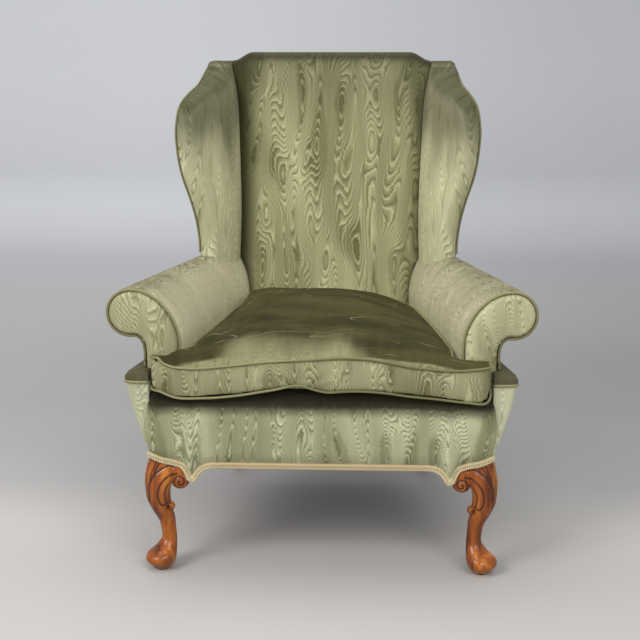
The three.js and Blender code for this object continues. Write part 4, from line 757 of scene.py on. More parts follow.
def arm_section(y):
    """Points of the section for depths y: rows of sections, columns along each."""
    y = np.asarray(y, float)
    inner, stem, radius, cx, cz = arm_x(y), stem_x(y), scroll_r(y), scroll_x(y), scroll_z(y)
    level = np.zeros_like(y)
    line = []
    for share in np.linspace(0, 1, INSIDE, endpoint=False):
        line.append((inner, level + lerp(DECK - 60, SPRING_LINE, share)))
    for angle in np.linspace(0, RIGHT_ANGLE, CURVE, endpoint=False):
        rise = (ARM_TOP - SPRING_LINE) * math.sin(angle) ** DROOP
        line.append((cx - (cx - inner) * math.cos(angle), level + SPRING_LINE + rise))
    last = np.where(cx < stem, -np.arccos(np.clip((stem + 1 - cx) / radius, -1, 1)), -1.6)
    for share in np.linspace(0, 1, ROUND):
        angle = lerp(RIGHT_ANGLE, last, share)
        line.append((cx + radius * np.cos(angle), cz + radius * np.sin(angle)))
    end_x, end_z = line[-1]
    for share in (0.35, 0.7, 1.0):
        line.append((lerp(end_x, stem, share), lerp(end_z, cz - radius - 8, share)))
    return np.stack([np.stack(place, axis=-1) for place in line], axis=-2)


def arm_height(x, y):
    """Height of the arm's cover over a place in plan."""
    cx, radius, inner = scroll_x(y), scroll_r(y), arm_x(y)
    cosine = np.clip((cx - x) / (cx - inner), 0, 1)
    inside = SPRING_LINE + (ARM_TOP - SPRING_LINE) * np.sin(np.arccos(cosine)) ** DROOP
    beyond = scroll_z(y) + np.sqrt(np.clip(radius**2 - (x - cx) ** 2, 0, None))
    height = np.where(x < cx, inside, beyond)
    return np.where((x < inner) | (x > cx + radius), 0.0, height)


OVER_ARM = 640.0  # nothing higher than this can touch an arm


def rest_on_arm(grid, sunk, where=True):
    """Lift the low points of a grid to the arm's cover, less the depth that they sink in."""
    height = arm_height(grid[..., 0], grid[..., 1]) - sunk
    low = (grid[..., 2] < OVER_ARM) & where
    grid[..., 2] = np.maximum(grid[..., 2], np.where(low, height, 0))


# %% The arm pads
stations = np.concatenate([[0.0, 0.006, 0.015], np.linspace(0.03, 1.0, 44)])
start = FACING + GAP
section = arm_section(lerp(start, SCROLL_END, stations))
for _ in range(2):  # the arm ends on the raked stile, so its depth follows the height
    depth = lerp(start, stile_front(section[..., 1]) - GAP, stations[:, None])
    section = np.stack([arm_section(depth[:, j])[:, j] for j in range(depth.shape[1])], axis=1)
plump = 1.6 * np.sin(math.pi * stations) ** 0.5 - 2.2 * (1 - smooth(stations, 0.0, 0.02))
arm_front = at_depth(inward(section, -plump[:, None, None]), depth)
arm_back = at_depth(inward(section, 9.0), depth)
run = arc(arm_front, 1)
arm_uv = on_cloth(depth, run - run[:, [INSIDE + CURVE]])
paired_skins("arm_cover", arm_front, arm_back, arm_cloth, arm_uv, (0, 640), "arm_pad")
print("arm covers:", arm_front.shape, "points each")

# %% [markdown]
# ## The arm facings
# A facing is a stiff shape, padded and covered, nailed over the raw end of the arm, with a welt
# round it. The outline is the arm's own section. A few rings shrink from it, and the sheet inside
# them is cut finely and swollen by its distance from the edge, like a padded board.

# %% A domed panel inside an outline
edge = arm_section(np.array([FACING]))[0]
waist, foot = stem_x(FACING), DECK + GAP
neck = [[381.0, 499.3], [372.0, 493.5], [366.8, 484.0],
        [waist, 468.0], [waist, 440.0], [waist, foot]]
outline = smooth_line(np.vstack([[[arm_x(FACING), foot]], edge[INSIDE:-3], neck]), 150)
insets = np.array([7.0, 7.5, 8.4, 9.8, 11.6, 13.6, 16.0])
board = inward(outline, insets[0])


def facing_board():
    mesh = bmesh.new()
    rings = [[mesh.verts.new((x, 0.0, z)) for x, z in inward(outline, inset)] for inset in insets]
    for outside, within in zip(rings, rings[1:]):
        for j in range(len(outside) - 1):
            mesh.faces.new((outside[j], outside[j + 1], within[j + 1], within[j]))
    sheet = mesh.faces.new(rings[-1])
    patch = [sheet, *sheet.edges, *sheet.verts]
    for axis, places in ((0, np.arange(285, 440, 6.0)), (2, np.arange(405, 600, 6.0))):
        for place in places:
            co, no = [0, 0, 0], [0, 0, 0]
            co[axis], no[axis] = place, 1
            cut = bmesh.ops.bisect_plane(mesh, geom=patch, plane_co=co, plane_no=no)
            patch = list(set(cut["geom"]) | {part for part in patch if part.is_valid})
    front = bmesh.ops.extrude_face_region(mesh, geom=mesh.faces[:], use_keep_orig=True)["geom"]
    for vert in front:
        if isinstance(vert, bmesh.types.BMVert):
            away = float(np.linalg.norm(board - [vert.co.x, vert.co.z], axis=1).min())
            rounded = math.sqrt(1 - (1 - min(away / 9.0, 1)) ** 2)
            vert.co.y = -(1.8 + 11.5 * rounded + 4.0 * float(smooth(away, 2, 34)))
    bmesh.ops.recalc_face_normals(mesh, faces=mesh.faces[:])
    points = np.array([vert.co[:] for vert in mesh.verts])
    mesh.verts.index_update()
    faces = [tuple(vert.index for vert in face.verts) for face in mesh.faces]
    mesh.free()
    return points + np.array([0.0, FACING - 0.2, 0.0]), faces


board_points, board_faces = facing_board()
for (side, sign), move in zip(SIDES, (0, 230)):
    face = piece(f"{side}_facing_cover", mirrored(board_points, sign), board_faces, facing_cloth,
                 board_points[:, [0, 2]] + move)
    dress(face, f"{side}_arm_facing")
print("facing outline:", len(outline), "points")

# %% The welts round the facings
WELT = 3.1  # radius of the heaviest welt
line = inward(outline, 3.0)
line = at_depth(line[line[:, 1] > 449], FACING - 4.8)
paired_welts("facing_cord", line, 2.7, "facing_welt", aside=(0, 1, 0))
print("facing welts:", len(line), "points along each")

# %% [markdown]
# ## The wings
# A wing is a shaped post and rail with webbing, stuffed on its inside and rolled round its front
# edge. Fourteen measured rows say how far out and how far forward the edge stands; smooth tables
# through them give as many rows as are wanted, and the last rows close over the top.

# %% One level of the wing
WING_FOOT, WING_TOP, REACH, AHEAD, ROLL = 560.0, 1041.0, 349.0, 20.0, 22.0
LAST = 0.979  # share of the height where the wing closes
measured = [  # share of the height, reach out, reach forward, lift, place of the groove
    (0, 0.868, 0.725, 0, 0.618), (0.084, 0.868, 0.738, 0, 0.616),
    (0.167, 0.872, 0.745, 0, 0.613), (0.256, 0.888, 0.79, 0, 0.612),
    (0.356, 0.92, 0.85, 0, 0.615), (0.476, 0.968, 0.925, 0, 0.622),
    (0.603, 0.992, 0.992, 0, 0.63), (0.702, 0.997, 0.975, 0.005, 0.636),
    (0.775, 0.977, 0.86, 0.015, 0.642), (0.827, 0.942, 0.64, 0.012, 0.65),
    (0.873, 0.906, 0.4, 0.006, 0.66), (0.915, 0.88, 0.2, 0.004, 0.673),
    (0.953, 0.862, 0.08, 0, 0.686), (LAST, 0.84, 0.03, 0, 0.695),
]
levels, *columns = zip(*measured)
wing_out, wing_fore, wing_lift, groove_out = [table(levels, column) for column in columns]


def wing_frame(share):
    """One level: its height, its groove, the length of its chord, and a rule that places points."""
    z = lerp(WING_FOOT, WING_TOP, share)
    groove = np.array([groove_out(share) * REACH, pad_front(z) + 15.0])
    fore = lerp(groove[1], AHEAD, wing_fore(share))
    middle = np.array([wing_out(share) * REACH - 1.4 * ROLL, fore + ROLL])
    middle = middle + ROLL * turned(unit(middle - groove))
    along = unit(np.array([middle[0] - groove[0], min(middle[1] - groove[1], -ROLL / 2)]))
    out = -turned(along)
    length = max(float(np.dot(middle - groove, along)), ROLL)
    lift = wing_lift(share) * WING_TOP

    def at(a, b):
        a, b = np.asarray(a, float), np.asarray(b, float)
        plan = groove + a[..., None] * along + b[..., None] * out
        height = z + lift * np.clip(a / length, 0, 1)
        return np.concatenate([plan, height[..., None]], axis=-1)

    return z, groove, length, at


# %% The padded wings
def wing_ring(share):
    """Points round one level: inside the wing, round its front roll and back along its hollow."""
    z, groove, length, at = wing_frame(share)
    rear = min(stile_front(z) - BEFORE, 391.0) if z < STILE_TOP - 9 else stile_back(STILE_TOP)
    inner, angle = np.linspace(0, 1, 18, endpoint=False), np.linspace(0, math.pi, 26)
    lip = max(length - 16.0, length / 2)
    high = smooth(z, 975.0, 1010.0)
    hollow, stile = lerp(22.0, 43.0, high), float(stile_outer(z))
    return np.vstack([
        [[groove[0], lerp(rear, groove[1], s), z] for s in (0, 0.5)],
        at(inner * length, -7.0 * np.sin(math.pi * inner)),
        at(length + ROLL * np.sin(angle), ROLL * (1 - np.cos(angle))),
        at([lerp(length, lip, 0.5), lip], [2 * ROLL, 2 * ROLL]),
        at([lip - 0.4, lip * 0.45], [hollow, hollow]),
        [[lerp(stile - 32.0, stile + 4.5, high), rear, z]],
    ])


rings = [wing_ring(s) for s in np.linspace(0, 0.965, 84)]
crown, below = wing_ring(LAST), rings[-1][:, 2]
away = (crown - crown.mean(axis=0))[:, :2]
for angle in np.linspace(0.2, RIGHT_ANGLE, 7):
    ring = crown.copy()
    half = np.linalg.norm(away, axis=1, keepdims=True) * 0.5
    ring[:, :2] -= unit(away) * np.minimum((1 - math.cos(angle)) * 12.0, half)
    ring[:, 2] = lerp(below, WING_TOP, math.sin(angle))
    rings.append(ring)
wing = np.array(rings)
rest_on_arm(wing, 2.0)
run = arc(wing, 1)
wing_uv = on_cloth(run - run[:, 2:3], wing[..., 2])


def closed_rings(name, rings, finish, cloth):
    """A stack of rings whose two ends are closed across with strips."""
    rows, columns = rings.shape[:2]
    faces = grid_faces(rows, columns, around=True)
    for start, flip in ((0, True), ((rows - 1) * columns, False)):
        for j in range((columns - 1) // 2):
            a, b = start + j, start + j + 1
            c, d = start + columns - 2 - j, start + columns - 1 - j
            quad = (a, b, c, d) if b != c else (a, b, d)
            faces.append(quad[::-1] if flip else quad)
    return piece(name, rings.reshape(-1, 3), faces, finish, cloth.reshape(-1, 2))


for (side, sign), move in zip(SIDES, (0, 13)):
    shape = closed_rings(f"{side}_wing_cover", mirrored(wing, sign), wing_cloth, wing_uv + move)
    dress(shape, f"{side}_wing_pad")
print("wing covers:", wing.shape)


# %% The outside of the wings and their welts
def outside_wing(offset):
    """A panel from the front roll to the back stile, moved out by an offset."""
    rear_foot = float(scroll_z(266.0) - scroll_r(266.0)) - 19.0
    t = np.linspace(0, 1, 26)[:, None]
    rows = []
    for s in np.linspace(0, LAST, 60):
        _, _, length, at = wing_frame(s)
        rear_z = lerp(rear_foot, STILE_TOP, s / LAST)
        rear = np.array([stile_outer(rear_z) + 1.4, stile_back(rear_z), rear_z])
        row = lerp(at(length + ROLL * 0.3, 2 * ROLL + 0.8), rear, t)
        row[:, 0] += offset + 3.0 * np.sin(math.pi * t[:, 0]) * math.sin(math.pi * s)
        rows.append(row)
    grid = np.array(rows)
    rest_on_arm(grid, 3.0, grid[..., 1] < stile_front(grid[..., 2]) + 2.0)
    return grid


outer, inner = outside_wing(0.0), outside_wing(-3.5)
outer_uv = on_cloth(arc(outer, 1), outer[..., 2])
paired_skins("wing_outside", outer, inner, outside_cloth, outer_uv, (0, 90), "outside_wing")
wing_line = []
for s in np.linspace(0.1, LAST, 90):
    _, _, length, at = wing_frame(s)
    wing_line.append(at(length + 25.2 * math.sin(2.8), ROLL - 25.2 * math.cos(2.8)))
paired_welts("wing_cord", wing_line, 2.3, "wing_welt", aside=(0, 1, 0))
print("wing panels:", outer.shape, "with welts of", len(wing_line), "points")

# %% [markdown]
# ## The back
# The inside back is one long pad from the seat up to its roll over the crest. Its edges dive into
# the grooves beside the wings and against the arms, so its width follows them level by level.

# %% The back pad and its crest roll
FOOT, CREST_TOP = 310.9, 1062.0
SHOULDER, RAIL_CAP = CREST_TOP - 27.0, 1030.5
roll_places = [(0.06, 0.44), (0.34, 0.8), (0.95, 1), (1.55, 0.96),
               (2.0, 0.74), (2.2, 0.46), (2.2, 0.02)]


def back_width(y, z):
    """Half the pad's width, up to the groove of the wing and the inside of the arm."""
    share = np.clip((z - WING_FOOT) / (WING_TOP - WING_FOOT), 0, LAST)
    beside_wing = groove_out(share) * REACH - 1.2
    rise = np.clip((z - SPRING_LINE) / (ARM_TOP - SPRING_LINE), 0, 0.9999) ** (1 / DROOP)
    cx, inner = scroll_x(y), arm_x(y)
    beside_arm = cx - (cx - inner) * np.sqrt(1 - rise**2) - 1.5
    return np.where(z < 598, np.minimum(beside_wing, beside_arm), beside_wing)


def back_profile(c):
    """Depths and heights up the pad at a share c of its half width."""
    drop, edge_in = 20.0 * smooth(abs(c), 0.80, 1.0), 26.0 * abs(c) ** 9
    profile = []
    for share in np.linspace(0, 0.94, 14):
        z = lerp(FOOT, SHOULDER, share)
        swell = math.sin(math.pi * share) ** 0.6 * float(smooth(z, 424.0, 488.0))
        profile.append((pad_front(z) - 14.0 * (1.2 - c * c) * swell + edge_in, z))
    for py, pz in roll_places:
        y = pad_front(SHOULDER) + 54.0 * py + edge_in * (1 - py / 2.2)
        z = lerp(SHOULDER - drop, CREST_TOP - drop, pz)
        profile.append((y, max(z, 1031.3) if py > 1 else z))
    return smooth_line(profile, 130).T


covers, linings = [], []
for c in np.sin(np.linspace(-RIGHT_ANGLE, RIGHT_ANGLE, 71)):
    y, z = back_profile(c)
    x, below = c * back_width(y, z), z < RAIL_CAP
    low, creep = np.minimum(z, RAIL_CAP), np.linspace(0, 0.4, len(z))
    behind = np.where(below, stile_front(low) - BEFORE, np.maximum(y, 344.5)) + creep * 0.1
    behind = np.maximum(behind, np.where(below, y + 1.0, 0))
    covers.append(np.stack([x, y, z], axis=1))
    linings.append(np.stack([x * 0.985, behind, low - 0.2 + creep], axis=1))
back_front = np.stack(covers, axis=1)
back_uv = on_cloth(back_front[..., 0], arc(back_front, 0))
back = skin("back_cover", back_front, np.stack(linings, axis=1), back_cloth, back_uv)
dress(back, "back_pad")
print("back cover:", back_front.shape)

# %% The outside back and the welt along its top
s, across = np.meshgrid(np.linspace(0, 1, 50), np.linspace(-1, 1, 41), indexing="ij")
z = lerp(249.0, 1030.0, s)
bulge = 2.5 * np.cos(across * RIGHT_ANGLE) * np.sin(math.pi * s) - 2.2 * np.abs(across) ** 14
outside = np.stack([across * (stile_outer(z) + 3.5), stile_back(z) + GAP + 3.5 + bulge, z], axis=-1)
inside = outside * [0.996, 1.0, 1.0] - [0.0, 3.3, 0.0]
outside_uv = on_cloth(outside[..., 0] + 900, outside[..., 2])
dress(skin("back_outside", outside, inside, outside_cloth, outside_uv), "outside_back")
half_crest = np.array([(288, -1, -6), (276, 0, -1), (200, 0, 0), (0, 0, 0)])
crest = np.vstack([mirrored(half_crest, -1.0), half_crest[-2::-1]])
crest_line = smooth_line(crest + [0, stile_back(1030.0) + 5.1, 1034.8], 90)
dress(cord("crest_cord", crest_line, WELT), "crest_welt")
print("outside back:", outside.shape)

# %% The outside of the arms
rows = []
for s in np.linspace(0, 1, 24):
    ys = lerp(FACING + GAP, lerp(250.0, 286.0, s), np.linspace(0, 1, 60))
    zs = lerp(RAIL_TOP + GAP, scroll_z(ys) - scroll_r(ys) - 8.3, s)
    row = np.stack([stem_x(ys) + 1.5 * math.sin(math.pi * s), ys, zs], axis=1)
    to_stile = stile_outer(zs[-1]) + 1.0 - row[-1, 0]
    rows.append(np.vstack([row, row[-1] + np.linspace(0, 1, 6)[1:, None] * [to_stile, 0.0, 0.0]]))
outer = np.array(rows)
inner = outer - np.array([3.4, 0, 0])
inner[:, 60:] = outer[:, 60:] - np.array([0, 3.0, 0])
inner[:, 59, 1] -= 3.0
outer_uv = on_cloth(outer[..., 1], outer[..., 2])
moves = ((500, 0), (-500, 0))
paired_skins("arm_outside", outer, inner, outside_cloth, outer_uv, moves, "outside_arm")
print("outside panels:", outer.shape)

# %% [markdown]
# ## The borders round the seat
# Below the arms the cover swells to a ledge and falls to a shaped hem, which rises over each knee
# and dips to a point beside it. The front border is a padded roll over the seat's front edge.

# %% The hem's height at a distance from the front corner
HEM, CUSP = 130.0, 0.645  # how far from the corner the hem is shaped, and the share at its point
hem_share = table([0, 0.19, 0.42, 0.56, CUSP, 0.73, 0.87, 1],
                  [1, 0.5, 0.15, -0.28, -1, -0.5, -0.09, 0])


def hem(distance):
    height = hem_share(np.clip(np.abs(distance) / HEM, 0, 1))
    return RAIL_UNDER + height * np.where(height > 0, 20.0, 32.0)


# %% The side borders with their ledge
RISE, SEAM, HEM_OUT = 25.0, LEDGE + 5.0, 0.03
top_out = table([0, 0.3, 0.6, 0.85, 1], [1.0, 1.07, 1.06, 0.9, 0.45])
out_share = table([0, 0.2, 0.4, 0.6, 0.8, 1], [HEM_OUT, 0.3, 0.52, 0.72, 0.88, 1])


def ledge_reach(y):
    return lerp(46.0, 34.0, np.clip((y - FRONT) / RAIL_RUN, 0, 1))


def border_rows(y, share):
    """A row of the cover, from the hem over the ledge, and one behind it, with a share of reach."""
    rail = side_x(np.clip(y, FRONT, POST)) + GAP
    reach = ledge_reach(y) * share
    low = hem(max(y - FRONT, 0))
    up, turn = np.linspace(0, 1, 26), np.linspace(0, 1, 14)[1:]
    x, z, wall = rail + reach * out_share(up), lerp(low, SEAM, up), rail
    if y > FACING - 14:  # beside the arm, whose stem it has to cover
        x = np.maximum(x, rail + 22.8 * smooth(z, RAIL_TOP - 50, RAIL_TOP))
        wall = stem_x(y) + GAP
    above = np.sin(turn * RIGHT_ANGLE)
    rise = RISE * (0.78 + 0.22 * smooth(y, FRONT - 4, FRONT + 16))
    top_x = np.maximum(rail + reach * top_out(above), wall)
    back_z = lerp(low, RAIL_TOP + GAP, up), lerp(RAIL_TOP + GAP, SEAM + rise - 0.5, turn)
    cover = on_cloth(np.concatenate([x, top_x]), np.concatenate([z, SEAM + rise * above]))
    behind = on_cloth(np.repeat([rail, max(wall - 0.5, rail)], [26, 13]), np.concatenate(back_z))
    return at_depth(cover, y), at_depth(behind, y)


places = [(FRONT - 4 * math.cos(a), math.sin(a) ** 0.8) for a in np.linspace(0.06, RIGHT_ANGLE, 16)]
places += [(y, 1.0) for y in np.linspace(FRONT + 3, FRONT + HEM, 34)]
places += [(y, 1.0) for y in np.linspace(FRONT + HEM + 12, REAR, 34)]
cover, behind = [np.array(rows) for rows in zip(*[border_rows(*place) for place in places])]
border_uv = on_cloth(arc(cover, 0), arc(cover, 1))
paired_skins("border_cover", cover, behind, side_cloth, border_uv, (700, 1400), "side_border")
ledge_line = []
for a in np.linspace(0, RIGHT_ANGLE, 12):
    ledge_line.append([FRONT_HALF + 1 + 48.6 * math.sin(a), FRONT - 6.8 * math.cos(a), SEAM])
for y in np.linspace(FRONT + 60, REAR, 10):
    ledge_line.append([side_x(y) + ledge_reach(y) + 3.2, y, SEAM])
paired_welts("ledge_cord", smooth_line(ledge_line, 90), 2.7, "ledge_welt")
print("hem at the cusp:", round(float(hem(CUSP * HEM)), 1), "mm above the floor")

# %% The front border
PUFF, HEM_FULL, HEM_EDGE = 28.0, 0.62, 20.0  # greatest thickness, and how full the hem is at a leg
face_share = table([0, 0.12, 0.32, 0.55, 0.74, 0.83, 0.91, 1],
                   [0.3, 0.72, 0.93, 1, 0.95, 0.76, 0.25, -0.25])
ends = FRONT_HALF * np.cos(np.linspace(0, RIGHT_ANGLE, 70))
xs = np.concatenate([-ends, ends[::-1][1:]])
up = np.concatenate([np.linspace(0, 0.86, 30), np.linspace(0.88, 1.0, 12)])
wobble = np.random.default_rng(4)
spans = (-330, 330), (0.3, 0.9), (-1.6, 1.6), (25, 70)  # a bump's places, height and width
bumps = [[wobble.uniform(*span) for span in spans] for _ in range(26)]


def fullness(distance, least, edge):
    """Rises from its least at the leg to one, over the width of the edge."""
    short = 1 - np.clip(distance / edge, 0, 1)
    return np.sqrt(1 - (1 - least**2) * short**2)


def front_rows(x):
    """A row of the front border's cover, from the hem over its top, and one of its back."""
    distance = FRONT_HALF - abs(x)
    full = fullness(distance, lerp(HEM_FULL, 0.12, smooth(up, 0.25, 0.85)),
                    lerp(HEM_EDGE, 62.0, smooth(up, 0.3, 0.95)))
    low, top_z = hem(distance), DECK - 15.0 * (1 - min(distance / 70.0, 1)) ** 2
    soft = sum(high * np.exp(-(((x - across) / wide) ** 2) - ((up - rise) / 0.22) ** 2)
               for across, rise, high, wide in bumps)
    y = FRONT - GAP - PUFF * full * face_share(up) - soft * full
    over_y = np.linspace(y[-1] + 3, FACING - GAP, 5)
    bow = np.sin(math.pi * np.clip((up - 0.05) / 0.95, 0, 1)) ** 0.8
    out_x = x + np.sign(x) * 8.0 * smooth(abs(x), 290, FRONT_HALF) * bow
    cover = [np.append(out_x, np.full(5, x)), np.append(y, over_y),
             np.append(lerp(low, top_z, up), np.full(5, top_z))]
    back_y = np.append(np.full(len(up), FRONT - GAP), np.linspace(FRONT - GAP, FACING - GAP, 5))
    back = [np.full(len(up) + 5, x), back_y, np.append(lerp(low, 311.0, up), np.full(5, 311.0))]
    return np.stack(cover, axis=1), np.stack(back, axis=1)


front_grid, front_back = [np.array(rows) for rows in zip(*map(front_rows, xs))]
front_uv = on_cloth(front_grid[..., 0], arc(front_grid, 1) + 1500)
border = skin("front_border_cover", front_grid, front_back, border_cloth, front_uv)
dress(border, "front_border")
print("front border:", front_grid.shape)

# %% [markdown]
# ## The loose seat cushion
# The cushion is a T in plan, with ears in front of the arms. Its boxing stands between two welts
# and its down filling pushes the panels out between the seams. It is made as it is filled: a slack
# case is remeshed evenly, its seams are pinned where the welts run, and cloth simulation fills it.

# %% The cushion's plan and its seams
EAR_FRONT, EAR_BACK, CUSHION_REAR, EAR_HALF = -377.8, -342.8, 107.8, 339.8
CUSHION_BASE = DECK + 0.6
front_top = table([-345, -338, -322, -287, -201, -126, -10, 40, 90, 140, 190, 240, 289, 345],
                  [472, 463, 455, 450, 455, 463, 470, 473, 472, 466, 457, 452, 450, 455])
front_low = table([-345, -320, -253, -177, -101, -38, -14, 18, 45, 91, 141, 191, 241, 291, 345],
                  [401, 390, 386, 392, 404, 413, 406, 400, 402, 403, 400, 394, 390, 385, 380])


def row_y(share):
    """Depth of a row: shares under nought are the ears, shares over nought the seat behind them."""
    return lerp(EAR_BACK, np.where(share <= 0, EAR_FRONT, CUSHION_REAR), np.abs(share))


def row_half(share):
    y = row_y(share)
    neck = arm_x(y) - 10.2 - 9.0 * smooth(-y, 258.0, 318.0)
    front = 0.045 * np.clip((-share - 0.55) / 0.45, 0, 1) ** 2.5
    rear = 0.05 * np.clip((share - 0.9) / 0.1, 0, 1) ** 2
    return np.where(share <= 0, EAR_HALF, neck) * (1 - front - rear)


def plan(u, share):
    pull = 5.0 * (1 - u * u) * np.clip(-share, 0, 1) ** 2
    return u * row_half(share), row_y(share) + pull


def upper_seam_z(u, share):
    x = u * 345.0
    rest = CUSHION_BASE + 62.0 + 14.0 * smooth(share, 0.0, 0.7)
    rest = rest + 26.0 * smooth(x, -338, -288) * (x < 0) * (1 - smooth(share, 0.05, 0.3))
    behind = 0.35 * (1 - smooth(share, 0, 0.3))
    ahead = np.where(share <= 0, 0.35 + 0.65 * np.clip(-share, 0, 1), behind)
    return lerp(rest, front_top(x) - 1.0, ahead)


def lower_seam_z(u, share):
    return lerp(CUSHION_BASE + 2.0, front_low(u * 345.0) + 1.0, smooth(-share, 0.3, 1.0))


us = np.sin(np.linspace(-RIGHT_ANGLE, RIGHT_ANGLE, 61))
shares = np.concatenate([np.linspace(-1, -0.02, 14), [0.0, 0.004], np.linspace(0.03, 0.94, 40),
                         [0.965, 0.985, 1.0]])
U, S = np.meshgrid(us, shares)
X, Y = plan(U, S)
edge = np.array(rim_of(*U.shape))
rim_u, rim_s = U.ravel()[edge], S.ravel()[edge]
rim = np.stack(plan(rim_u, rim_s), axis=1)

# %% The crown of the cushion
rim_x, rim_y = rim.T
widths = [  # how far in from the seam the top is rounded; the first rule that holds is used
    (np.abs(rim_s) < 0.01, 30.0), (rim_s == -1.0, 112.0), (rim_s == 1.0, 26.0),
    (rim_s < 0, 96.0), (rim_x < 0, lerp(62.0, 22.0, smooth(rim_y, -120, 60))),
]
rounding = np.select(*zip(*widths), lerp(80.0, 66.0, smooth(rim_y, -250, 60)))
inside = np.full(X.shape, 9.0)
for place_x, place_y, wide in zip(rim_x, rim_y, rounding):
    inside = np.minimum(inside, np.hypot(X - place_x, Y - place_y) / wide)
rounded = np.sqrt(1 - (1 - np.clip(inside, 0, 1)) ** 2)
stitched = upper_seam_z(U, S)
crown = 521.0 - 20.0 * smooth(X, 40, 200) - 6.0 * smooth(-Y, 100, 340)
ears = smooth(-Y, 250, 345)
flat = smooth(np.abs(X), lerp(420.0, 190.0, ears), lerp(600.0, 330.0, ears))
crown = lerp(crown, stitched + 3.0, flat)
slack = np.random.default_rng(11)
spans = (-220, 220), (-330, 60), (-4, 3), (40, 120), (20, 60)  # a dent's place, depth and widths
dents = sum(
    deep * np.exp(-(((X - cx) / wx) ** 2) - ((Y - cy) / wy) ** 2)
    for cx, cy, deep, wx, wy in zip(*[slack.uniform(*span, 16) for span in spans])
)
top = np.stack([X, Y, stitched + (crown - stitched) * rounded**1.15 + dents * rounded], axis=-1)
under_z = lerp(CUSHION_BASE - 0.2, lower_seam_z(U, S), np.clip((-Y - 352.0) / 22.0, 0, 1))
under = np.stack([X, Y, under_z], axis=-1)
print("cushion crown:", round(float(top[..., 2].max()), 1), "mm")

# %% Seams as smooth lines, set out by the welts' thickness
rim_out = turned(unit(np.roll(rim, -1, axis=0) - np.roll(rim, 1, axis=0)))


def seam_line(height, away):
    line = np.column_stack([rim + rim_out * away, height(rim_u, rim_s)])
    keep = np.concatenate([[True], lengths(line) > 2.5])
    return smooth_line(line[keep], 420, closed=True)


upper_cord, lower_cord = seam_line(upper_seam_z, 3.4), seam_line(lower_seam_z, 3.4)
print("welt length:", round(float(lengths(upper_cord).sum())), "mm")

# %% A slack case
case_faces = grid_faces(*X.shape) + grid_faces(*X.shape, X.size, flip=True)
case_points = [top.reshape(-1, 3), under.reshape(-1, 3)]
swell = np.where(rim_s == -1.0, 6.5, 3.0)  # the boxing bulges more in front
boxing = [edge]
for share in np.linspace(0, 1, 9)[1:-1]:
    ring = lerp(case_points[0][edge], case_points[1][edge], share)
    ring[:, :2] += rim_out * (swell * math.sin(math.pi * share))[:, None]
    boxing.append(2 * X.size + (len(boxing) - 1) * len(edge) + np.arange(len(edge)))
    case_points.append(ring)
boxing.append(X.size + edge)
for above, below in zip(boxing, boxing[1:]):
    case_faces += zip(np.roll(above, -1), above, below, np.roll(below, -1))
case = piece("seat_cushion_cover", np.vstack(case_points), case_faces, cushion_cloth)
print("slack case:", len(case_faces), "faces")


# %% Modifiers whose result becomes the mesh
def frozen(target):
    """Put what the modifiers make in place of the mesh."""
    depsgraph = bpy.context.evaluated_depsgraph_get()
    mesh = bpy.data.meshes.new_from_object(target.evaluated_get(depsgraph))
    target.modifiers.clear()
    old, target.data = target.data, mesh
    bpy.data.meshes.remove(old)


def applied(target, kind, **settings):
    modifier = target.modifiers.new(kind.lower(), kind)
    for key, value in settings.items():
        setattr(modifier, key, value)
    frozen(target)


def read(vertices, key="co"):
    flat = np.zeros(len(vertices) * 3)
    vertices.foreach_get(key, flat)
    return flat.reshape(-1, 3)


def coordinates(target):
    return read(target.data.vertices)


def set_coordinates(target, points):
    target.data.vertices.foreach_set("co", np.asarray(points, float).ravel())
    target.data.update()


applied(case, "REMESH", mode="VOXEL", voxel_size=0.0055)
print("case remeshed to", len(case.data.vertices), "points")

# %% Filling the case
FILLING = {
    "quality": 4, "mass": 0.3, "tension_stiffness": 12, "compression_stiffness": 12,
    "shear_stiffness": 6, "bending_stiffness": 0.4, "use_pressure": True,
    "uniform_pressure_force": 4.0, "vertex_group_mass": "seams",
}
FRAMES, PINNED, LIMIT = 20, 0.006, 12.0  # frames run, metres round a seam, millimetres moved


def fill_case(target, seams):
    """Blow the case up between its pinned seams, and keep the movement under a limit."""
    rest = coordinates(target)
    nearest = np.full(len(rest), 1.0)
    for block in np.array_split(metres(np.vstack(seams)), 12):
        gaps = np.linalg.norm(rest[:, None, :] - block[None, :, :], axis=2).min(axis=1)
        nearest = np.minimum(nearest, gaps)
    group = target.vertex_groups.new(name="seams")
    group.add(np.nonzero(nearest < PINNED)[0].tolist(), 1.0, "REPLACE")
    cloth = target.modifiers.new("filling", "CLOTH")
    for key, value in FILLING.items():
        setattr(cloth.settings, key, value)
    cloth.settings.effector_weights.gravity = 0.0
    cloth.point_cache.frame_end = FRAMES
    for frame_number in range(1, FRAMES + 1):
        bpy.context.scene.frame_set(frame_number)
    depsgraph = bpy.context.evaluated_depsgraph_get()
    move = read(target.evaluated_get(depsgraph).to_mesh().vertices) - rest
    far = np.linalg.norm(move, axis=1, keepdims=True)
    move *= np.minimum(1.0, LIMIT * MM / np.maximum(far, 1e-9))
    target.modifiers.clear()
    target.vertex_groups.clear()
    bpy.context.scene.frame_set(1)
    set_coordinates(target, rest + move)
    print("filling moved the case by up to", round(float(far.max() / MM), 1), "mm, kept to", LIMIT)


fill_case(case, [seam_line(upper_seam_z, 0.0), seam_line(lower_seam_z, 0.0)])

